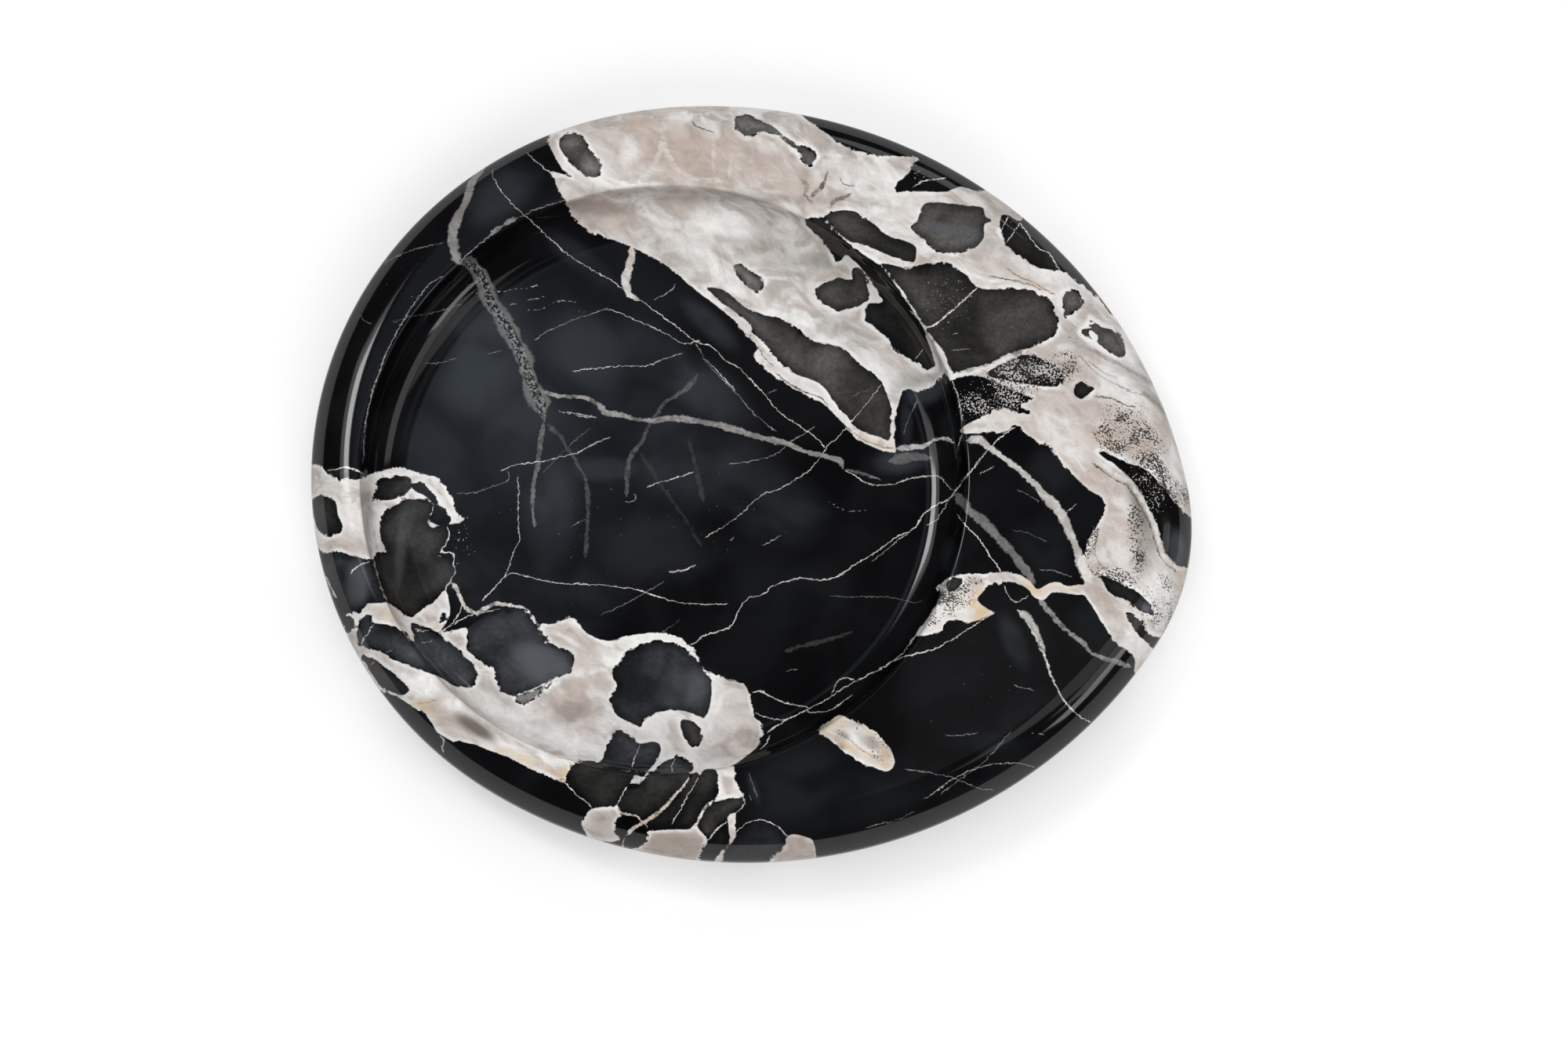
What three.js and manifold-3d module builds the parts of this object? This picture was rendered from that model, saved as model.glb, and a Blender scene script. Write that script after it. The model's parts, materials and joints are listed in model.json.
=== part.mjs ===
// A carved marble ashtray: an egg-shaped slab with a full round edge and a shallow round bowl,
// standing on four felt pads that thin discs of adhesive hold to its underside.
// Millimetres, +Z up. The origin is on the table under the middle of the slab, and +X points to
// the narrow end.
import * as THREE from "three";
import { mergeVertices } from "three/addons/utils/BufferGeometryUtils.js";
import Module from "manifold-3d";

// Outline: two end arcs with their centres on the long axis, joined by two flank arcs that begin
// where the wide end's outward normal has the given bearing, in degrees from +X
const WIDE_END_RADIUS = 94.5;
const NARROW_END_RADIUS = 53.5;
const FLANK_RADIUS = 121.2;
const FLANK_START_BEARING = 110;

// Slab: the upper and the lower round of its edge meet at an upright band
const SLAB_THICKNESS = 25;
const EDGE_BAND_HEIGHT = 1;

// Bowl: its place follows from the rim's narrowest width and where that is, seen from the wide
// end's centre, in degrees from +X
const BOWL_DIAMETER = 148.8;
const BOWL_DEPTH = 13;
const BOWL_COVE_RADIUS = 10;
const BOWL_LIP_EASE = 0.7;
const NARROWEST_RIM = 12.3;
const NARROWEST_RIM_BEARING = 225;

// Feet: the bearings are those of the outline's outward normal beside a pad, in degrees from +X
const PAD_DIAMETER = 18;
const PAD_THICKNESS = 2.6;
const PAD_EDGE_MARGIN = 6;
const WIDE_END_PAD_BEARING = 128;
const NARROW_END_PAD_BEARING = 30;
const ADHESIVE_THICKNESS = 0.4;
const ADHESIVE_SETBACK = 0.5;

// Facets
const OUTLINE_STEPS = 96;
const EDGE_STEPS = 7;
const BOWL_STEPS = 72;
const COVE_STEPS = 8;
const PAD_STEPS = 32;

// How far the bowl's cutter stands above the slab
const CUTTER_RISE = 5;

const edgeRadius = (SLAB_THICKNESS - EDGE_BAND_HEIGHT) / 2;
const undersideZ = PAD_THICKNESS + ADHESIVE_THICKNESS;

// A flank arc's centre is on the normal where the arc begins, and the narrow end's centre is where
// the arc's last normal meets the long axis. Distances along the axis are from the wide end's centre
const wideArcStart = THREE.MathUtils.degToRad(FLANK_START_BEARING);
const flankX = -(FLANK_RADIUS - WIDE_END_RADIUS) * Math.cos(wideArcStart);
const flankY = (FLANK_RADIUS - WIDE_END_RADIUS) * Math.sin(wideArcStart);
const narrowArcEnd = Math.asin(flankY / (FLANK_RADIUS - NARROW_END_RADIUS));
const narrowX = flankX + (FLANK_RADIUS - NARROW_END_RADIUS) * Math.cos(narrowArcEnd);
const wideCentreX = (WIDE_END_RADIUS - NARROW_END_RADIUS - narrowX) / 2;

const marble = new THREE.MeshStandardMaterial({ color: 0x1d1d20, roughness: 0.14, metalness: 0 });
const felt = new THREE.MeshStandardMaterial({ color: 0x2f2d2c, roughness: 0.95, metalness: 0 });
const adhesive = new THREE.MeshStandardMaterial({ color: 0xd9d6cc, roughness: 0.5, metalness: 0 });

const wasm = await Module();
wasm.setup();

const ashtray = new THREE.Group();

function addPiece(name, geometry, material, x, y, z) {
  const piece = new THREE.Mesh(geometry, material);
  piece.name = name;
  piece.position.set(x, y, z);
  ashtray.add(piece);
}

// The point of the outline where its outward normal has the given bearing, moved inwards by inset
function outlinePoint(bearing, inset) {
  const turn = Math.acos(Math.cos(bearing));
  const side = Math.sign(Math.sin(bearing));
  let arc = { x: flankX, y: -side * flankY, radius: FLANK_RADIUS };
  if (turn >= wideArcStart) {
    arc = { x: 0, y: 0, radius: WIDE_END_RADIUS };
  } else if (turn <= narrowArcEnd) {
    arc = { x: narrowX, y: 0, radius: NARROW_END_RADIUS };
  }
  const reach = arc.radius - inset;
  return new THREE.Vector2(
    wideCentreX + arc.x + reach * Math.cos(bearing),
    arc.y + reach * Math.sin(bearing),
  );
}

// A closed geometry as a solid that can be cut
function solidOf(geometry) {
  const bare = geometry.clone();
  bare.deleteAttribute("normal");
  bare.deleteAttribute("uv");
  const merged = mergeVertices(bare);
  return new wasm.Manifold(
    new wasm.Mesh({
      numProp: 3,
      vertProperties: new Float32Array(merged.attributes.position.array),
      triVerts: new Uint32Array(merged.index.array),
    }),
  );
}

function geometryOf(solid) {
  const mesh = solid.getMesh();
  const geometry = new THREE.BufferGeometry();
  geometry.setAttribute("position", new THREE.BufferAttribute(mesh.vertProperties, 3));
  geometry.setIndex(new THREE.BufferAttribute(mesh.triVerts, 1));
  geometry.computeVertexNormals();
  return geometry;
}

// The slab before carving, with its underside at z = 0
function slabGeometry() {
  const points = [];
  for (let i = 0; i < OUTLINE_STEPS; i += 1) {
    points.push(outlinePoint((i * 2 * Math.PI) / OUTLINE_STEPS, edgeRadius));
  }
  const slab = new THREE.ExtrudeGeometry(new THREE.Shape(points), {
    depth: EDGE_BAND_HEIGHT,
    steps: 1,
    bevelThickness: edgeRadius,
    bevelSize: edgeRadius,
    bevelSegments: EDGE_STEPS,
  });
  slab.translate(0, 0, edgeRadius);
  return slab;
}

// What the bowl removes from the slab: flat floor, coved wall and eased lip, turned about +Z
function bowlGeometry() {
  const radius = BOWL_DIAMETER / 2;
  const floorZ = SLAB_THICKNESS - BOWL_DEPTH;
  const profile = [new THREE.Vector2(0, floorZ)];
  for (let i = 0; i <= COVE_STEPS; i += 1) {
    const rise = (i * Math.PI) / 2 / COVE_STEPS;
    profile.push(
      new THREE.Vector2(
        radius - BOWL_COVE_RADIUS * (1 - Math.sin(rise)),
        floorZ + BOWL_COVE_RADIUS * (1 - Math.cos(rise)),
      ),
    );
  }
  profile.push(new THREE.Vector2(radius, SLAB_THICKNESS - BOWL_LIP_EASE));
  profile.push(new THREE.Vector2(radius + BOWL_LIP_EASE, SLAB_THICKNESS));
  profile.push(new THREE.Vector2(radius + BOWL_LIP_EASE, SLAB_THICKNESS + CUTTER_RISE));
  profile.push(new THREE.Vector2(0, SLAB_THICKNESS + CUTTER_RISE));
  const bowl = new THREE.LatheGeometry(profile, BOWL_STEPS);
  bowl.rotateX(Math.PI / 2);
  const offset = WIDE_END_RADIUS - NARROWEST_RIM - radius;
  const bearing = THREE.MathUtils.degToRad(NARROWEST_RIM_BEARING);
  bowl.translate(wideCentreX + offset * Math.cos(bearing), offset * Math.sin(bearing), 0);
  return bowl;
}

function discGeometry(diameter, thickness) {
  const disc = new THREE.CylinderGeometry(diameter / 2, diameter / 2, thickness, PAD_STEPS);
  disc.rotateX(Math.PI / 2);
  return disc;
}

const carved = solidOf(slabGeometry()).subtract(solidOf(bowlGeometry()));
addPiece("marble_body", geometryOf(carved), marble, 0, 0, undersideZ);

const feet = [
  { place: "wide_back", bearing: WIDE_END_PAD_BEARING },
  { place: "wide_front", bearing: -WIDE_END_PAD_BEARING },
  { place: "narrow_back", bearing: NARROW_END_PAD_BEARING },
  { place: "narrow_front", bearing: -NARROW_END_PAD_BEARING },
];
const padInset = edgeRadius + PAD_EDGE_MARGIN + PAD_DIAMETER / 2;
for (const foot of feet) {
  const { x, y } = outlinePoint(THREE.MathUtils.degToRad(foot.bearing), padInset);
  addPiece(
    "felt_pad_" + foot.place,
    discGeometry(PAD_DIAMETER, PAD_THICKNESS),
    felt,
    x,
    y,
    PAD_THICKNESS / 2,
  );
  addPiece(
    "adhesive_disc_" + foot.place,
    discGeometry(PAD_DIAMETER - 2 * ADHESIVE_SETBACK, ADHESIVE_THICKNESS),
    adhesive,
    x,
    y,
    PAD_THICKNESS + ADHESIVE_THICKNESS / 2,
  );
}

export default ashtray;
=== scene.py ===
import json
import math

import bpy
import numpy as np
from mathutils import Matrix, Vector
from mathutils.geometry import delaunay_2d_cdt


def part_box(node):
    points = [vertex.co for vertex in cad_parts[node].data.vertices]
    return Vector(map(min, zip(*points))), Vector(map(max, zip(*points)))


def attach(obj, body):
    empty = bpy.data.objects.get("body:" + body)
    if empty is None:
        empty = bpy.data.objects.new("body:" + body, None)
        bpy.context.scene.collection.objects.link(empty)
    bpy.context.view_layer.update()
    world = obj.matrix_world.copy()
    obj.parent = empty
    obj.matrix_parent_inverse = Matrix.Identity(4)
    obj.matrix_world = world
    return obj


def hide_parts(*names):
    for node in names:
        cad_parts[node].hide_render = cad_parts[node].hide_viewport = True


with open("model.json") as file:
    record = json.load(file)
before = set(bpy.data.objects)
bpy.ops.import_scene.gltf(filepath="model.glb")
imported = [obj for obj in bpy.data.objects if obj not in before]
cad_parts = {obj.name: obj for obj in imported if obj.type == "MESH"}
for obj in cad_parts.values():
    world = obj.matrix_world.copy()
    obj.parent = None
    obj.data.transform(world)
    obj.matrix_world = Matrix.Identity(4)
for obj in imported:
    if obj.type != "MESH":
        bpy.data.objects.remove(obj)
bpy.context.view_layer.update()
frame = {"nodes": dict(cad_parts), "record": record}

# Outline of the stone, as in the part's source: two end arcs joined by two flank arcs
WIDE_END_RADIUS = 0.0945
NARROW_END_RADIUS = 0.0535
FLANK_RADIUS = 0.1212
FLANK_START_BEARING = math.radians(110)

# The round edge is a little flatter than a half circle, so that a thread of flat rim is left where
# the bowl comes nearest to it
EDGE_BAND_HEIGHT = 0.001
EDGE_WIDTH = 0.0113

# Bowl, with a round lip
BOWL_RADIUS = 0.0744
BOWL_COVE_RADIUS = 0.010
BOWL_LIP_ROUND = 0.0007

# Fineness of the stone's mesh
GRID_STEP = 0.00075
GRID_MARGIN = GRID_STEP * 0.6
UNDERSIDE_STEP = 0.006
OUTLINE_COLUMNS = 760
BOWL_COLUMNS = 620
COVE_ROWS = 18
WALL_ROWS = 3
LIP_ROWS = 4
UPPER_EDGE_ROWS = 22
LOWER_EDGE_ROWS = 10
BEARING_SAMPLES = 7201
MERGE_DISTANCE = 1e-9

# Camera, fitted to the outline and the bowl's lip in the photograph
PHOTO_WIDTH = 2000
PHOTO_HEIGHT = 1333
LENS_MM = 80
SENSOR_MM = 36
CAMERA_DISTANCE = 0.88045
CAMERA_AIM = (0.009061, -0.005140, 0.0)
CAMERA_TILT = math.radians(13.65)
CAMERA_TURN = math.radians(11.483)

# The stone's pattern. All points are places on the photograph, in its pixels
FAR_FROM_EDGE = 60.0
CURVE_STEPS = 4
OUTLINE_ROUNDNESS = 0.8
VEIN_ROUNDNESS = 0.5
SPOT_REACH = 1.5

# A vein under the limit is drawn as a hairline, narrower and stronger than it is given. Every vein
# tapers to its ends and has room beside it in its layer
HAIRLINE_LIMIT = 2.3
HAIRLINE_SHARE = 0.40
HAIRLINE_STRENGTH = 1.45
TAPER_WIDTHS = 1.5
TAPER_LENGTH = 3
VEIN_ROOM = 16.0
NO_VEIN = [FAR_FROM_EDGE, FAR_FROM_EDGE, 0.0, 0.0]

# Where the round edge turns out of the photograph's sight, the pattern runs on outwards by this
# share of the way back
UNSEEN_EDGE_SHARE = 0.5

# Pale beds. An outline runs past the edge of the stone where the bed does
PALE_BEDS = {
    "north rim": [
        (706, 160), (698, 143), (722, 128), (748, 131), (772, 112), (812, 104), (846, 110), (880, 92),
        (930, 88), (962, 104), (990, 112), (1008, 132), (1029, 153), (1050, 166), (1073, 184), (1096, 194),
        (1125, 199), (1158, 199), (1170, 204), (1161, 212), (1161, 219), (1146, 231), (1142, 240),
        (1150, 250), (1178, 251), (1203, 247), (1226, 238), (1255, 244), (1300, 215), (1400, 330),
        (1330, 420), (1200, 345), (1130, 305), (1060, 275), (1000, 300), (850, 300), (760, 290), (727, 266),
        (709, 232), (702, 218), (729, 226), (717, 215), (707, 198), (699, 179),
    ],
    "bowl bed": [
        (722, 256), (727, 269), (737, 284), (757, 298), (780, 305), (815, 320), (849, 338), (884, 367),
        (918, 393), (938, 410), (953, 427), (967, 444), (961, 454), (975, 470), (998, 487), (1024, 502),
        (1050, 515), (1064, 528), (1079, 545), (1093, 560), (1116, 571), (1141, 578), (1141, 566),
        (1141, 533), (1147, 514), (1153, 497), (1171, 498), (1187, 494), (1200, 482), (1207, 466),
        (1192, 440), (1178, 415), (1150, 375), (1120, 335), (1080, 300), (1040, 268), (900, 230),
        (760, 232),
    ],
    "shelf bed": [
        (1027, 281), (1060, 262), (1150, 245), (1255, 244), (1300, 215), (1390, 310), (1440, 395),
        (1420, 450), (1340, 470), (1238, 478), (1212, 484), (1203, 462), (1182, 424), (1160, 392),
        (1130, 352), (1095, 322), (1062, 298),
    ],
    "east bed": [
        (1300, 330), (1400, 310), (1480, 420), (1545, 540), (1570, 660), (1560, 760), (1520, 840),
        (1475, 895), (1448, 862), (1447, 838), (1429, 824), (1413, 806), (1398, 781), (1386, 763),
        (1379, 755), (1383, 744), (1380, 734), (1374, 716), (1384, 705), (1388, 690), (1398, 672),
        (1405, 660), (1410, 648), (1404, 634), (1388, 624), (1369, 606), (1350, 584), (1337, 568),
        (1324, 565), (1308, 552), (1296, 543), (1280, 552), (1257, 552), (1229, 553), (1226, 547),
        (1234, 541), (1250, 533), (1267, 525), (1286, 521), (1304, 528), (1313, 526), (1302, 517),
        (1318, 507), (1292, 498), (1273, 489), (1254, 481), (1236, 474), (1262, 466), (1285, 457),
        (1312, 445), (1340, 432), (1350, 415), (1345, 395), (1320, 370),
    ],
    "west bed": [
        (360, 592), (397, 594), (406, 592), (413, 598), (420, 607), (429, 611), (465, 610), (467, 607),
        (474, 604), (485, 602), (497, 597), (511, 597), (521, 601), (549, 607), (559, 612), (568, 621),
        (573, 631), (579, 643), (582, 654), (594, 664), (583, 667), (569, 669), (558, 671), (552, 673),
        (545, 665), (550, 654), (552, 644), (546, 638), (528, 636), (513, 639), (499, 647), (488, 653),
        (484, 669), (486, 686), (493, 704), (482, 705), (477, 711), (472, 713), (451, 709), (441, 706),
        (428, 702), (416, 706), (404, 699), (360, 700),
    ],
    "west lower bridge": [
        (440, 780), (457, 783), (463, 775), (470, 770), (484, 769), (497, 770), (506, 776), (516, 785),
        (526, 787), (538, 778), (556, 765), (568, 752), (572, 766), (574, 785), (561, 806), (551, 803),
        (527, 794), (524, 800), (528, 814), (523, 817), (517, 806), (505, 800), (493, 796), (477, 794),
        (473, 785), (468, 782), (460, 788), (457, 801), (455, 817), (457, 830), (440, 830),
    ],
    "south-west rim": [
        (440, 830), (457, 825), (474, 827), (488, 832), (500, 839), (510, 845), (524, 850), (545, 858),
        (557, 862), (571, 870), (583, 877), (600, 880), (640, 925), (690, 955), (739, 976), (729, 980),
        (724, 988), (719, 997), (704, 992), (687, 985), (670, 977), (653, 968), (635, 961), (618, 954),
        (601, 948), (584, 945), (574, 944), (564, 938), (557, 933), (550, 921), (541, 911), (526, 901),
        (513, 892), (497, 885), (485, 880), (460, 885),
    ],
    "south-west bowl": [
        (581, 876), (593, 878), (603, 874), (609, 862), (606, 851), (599, 841), (591, 833), (577, 821),
        (561, 809), (577, 805), (595, 801), (596, 818), (596, 832), (607, 839), (621, 849), (630, 857),
        (636, 875), (641, 885), (664, 886), (687, 877), (710, 864), (722, 860), (731, 850), (732, 836),
        (720, 829), (704, 823), (688, 818), (701, 818), (690, 805), (678, 790), (670, 777), (676, 780),
        (687, 795), (701, 796), (716, 793), (724, 787), (734, 791), (742, 802), (752, 810), (765, 816),
        (782, 817), (799, 812), (816, 809), (832, 807), (850, 809), (864, 814), (879, 822), (890, 838),
        (899, 855), (917, 862), (934, 868), (948, 873), (955, 882), (958, 894), (962, 911), (971, 925),
        (972, 939), (965, 954), (951, 965), (934, 977), (916, 984), (893, 988), (845, 986), (790, 984),
        (765, 981), (739, 978), (690, 958), (640, 930), (600, 890),
    ],
    "south neck": [
        (914, 980), (935, 978), (938, 998), (948, 1013), (946, 1018), (932, 1017), (914, 1022), (900, 1032),
        (893, 1046), (887, 1052), (892, 1040), (902, 1025), (914, 1018), (917, 1000),
    ],
    "south pink patch": [
        (828, 1060), (846, 1059), (862, 1058), (879, 1058), (887, 1051), (893, 1060), (901, 1070),
        (897, 1083), (893, 1095), (890, 1130), (850, 1130), (800, 1112), (790, 1084), (811, 1083),
        (824, 1075), (827, 1066),
    ],
    "south left patch": [
        (754, 1031), (770, 1029), (784, 1027), (789, 1035), (795, 1039), (785, 1048), (783, 1058),
        (787, 1066), (790, 1072), (770, 1074), (752, 1069), (744, 1056), (742, 1048), (750, 1037),
    ],
    "south right patch": [
        (1003, 1070), (1007, 1064), (1024, 1066), (1036, 1072), (1040, 1081), (1041, 1095), (1043, 1135),
        (980, 1135), (978, 1104), (983, 1095), (991, 1091), (1001, 1081),
    ],
    "south white strip": [
        (928, 1042), (940, 1036), (937, 1050), (939, 1060), (938, 1068), (930, 1080), (922, 1091),
        (921, 1130), (905, 1130), (912, 1102), (917, 1090), (924, 1084), (931, 1072), (929, 1052),
    ],
    "south-east lens": [
        (1043, 931), (1056, 922), (1070, 912), (1086, 918), (1103, 925), (1120, 937), (1132, 951),
        (1140, 965), (1140, 977), (1132, 984), (1114, 979), (1094, 971), (1077, 958), (1060, 945),
    ],
    "cream patch": [
        (1195, 751), (1206, 739), (1229, 732), (1254, 732), (1280, 730), (1302, 734), (1315, 743),
        (1323, 752), (1338, 744), (1350, 743), (1362, 748), (1382, 746), (1380, 758), (1362, 757),
        (1342, 756), (1330, 766), (1318, 761), (1310, 750), (1292, 742), (1273, 744), (1260, 747),
        (1254, 754), (1246, 765), (1256, 775), (1267, 782), (1254, 788), (1238, 794), (1222, 791),
        (1206, 793), (1203, 804), (1184, 810), (1168, 809), (1184, 788), (1193, 772), (1203, 756),
    ],
}

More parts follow.
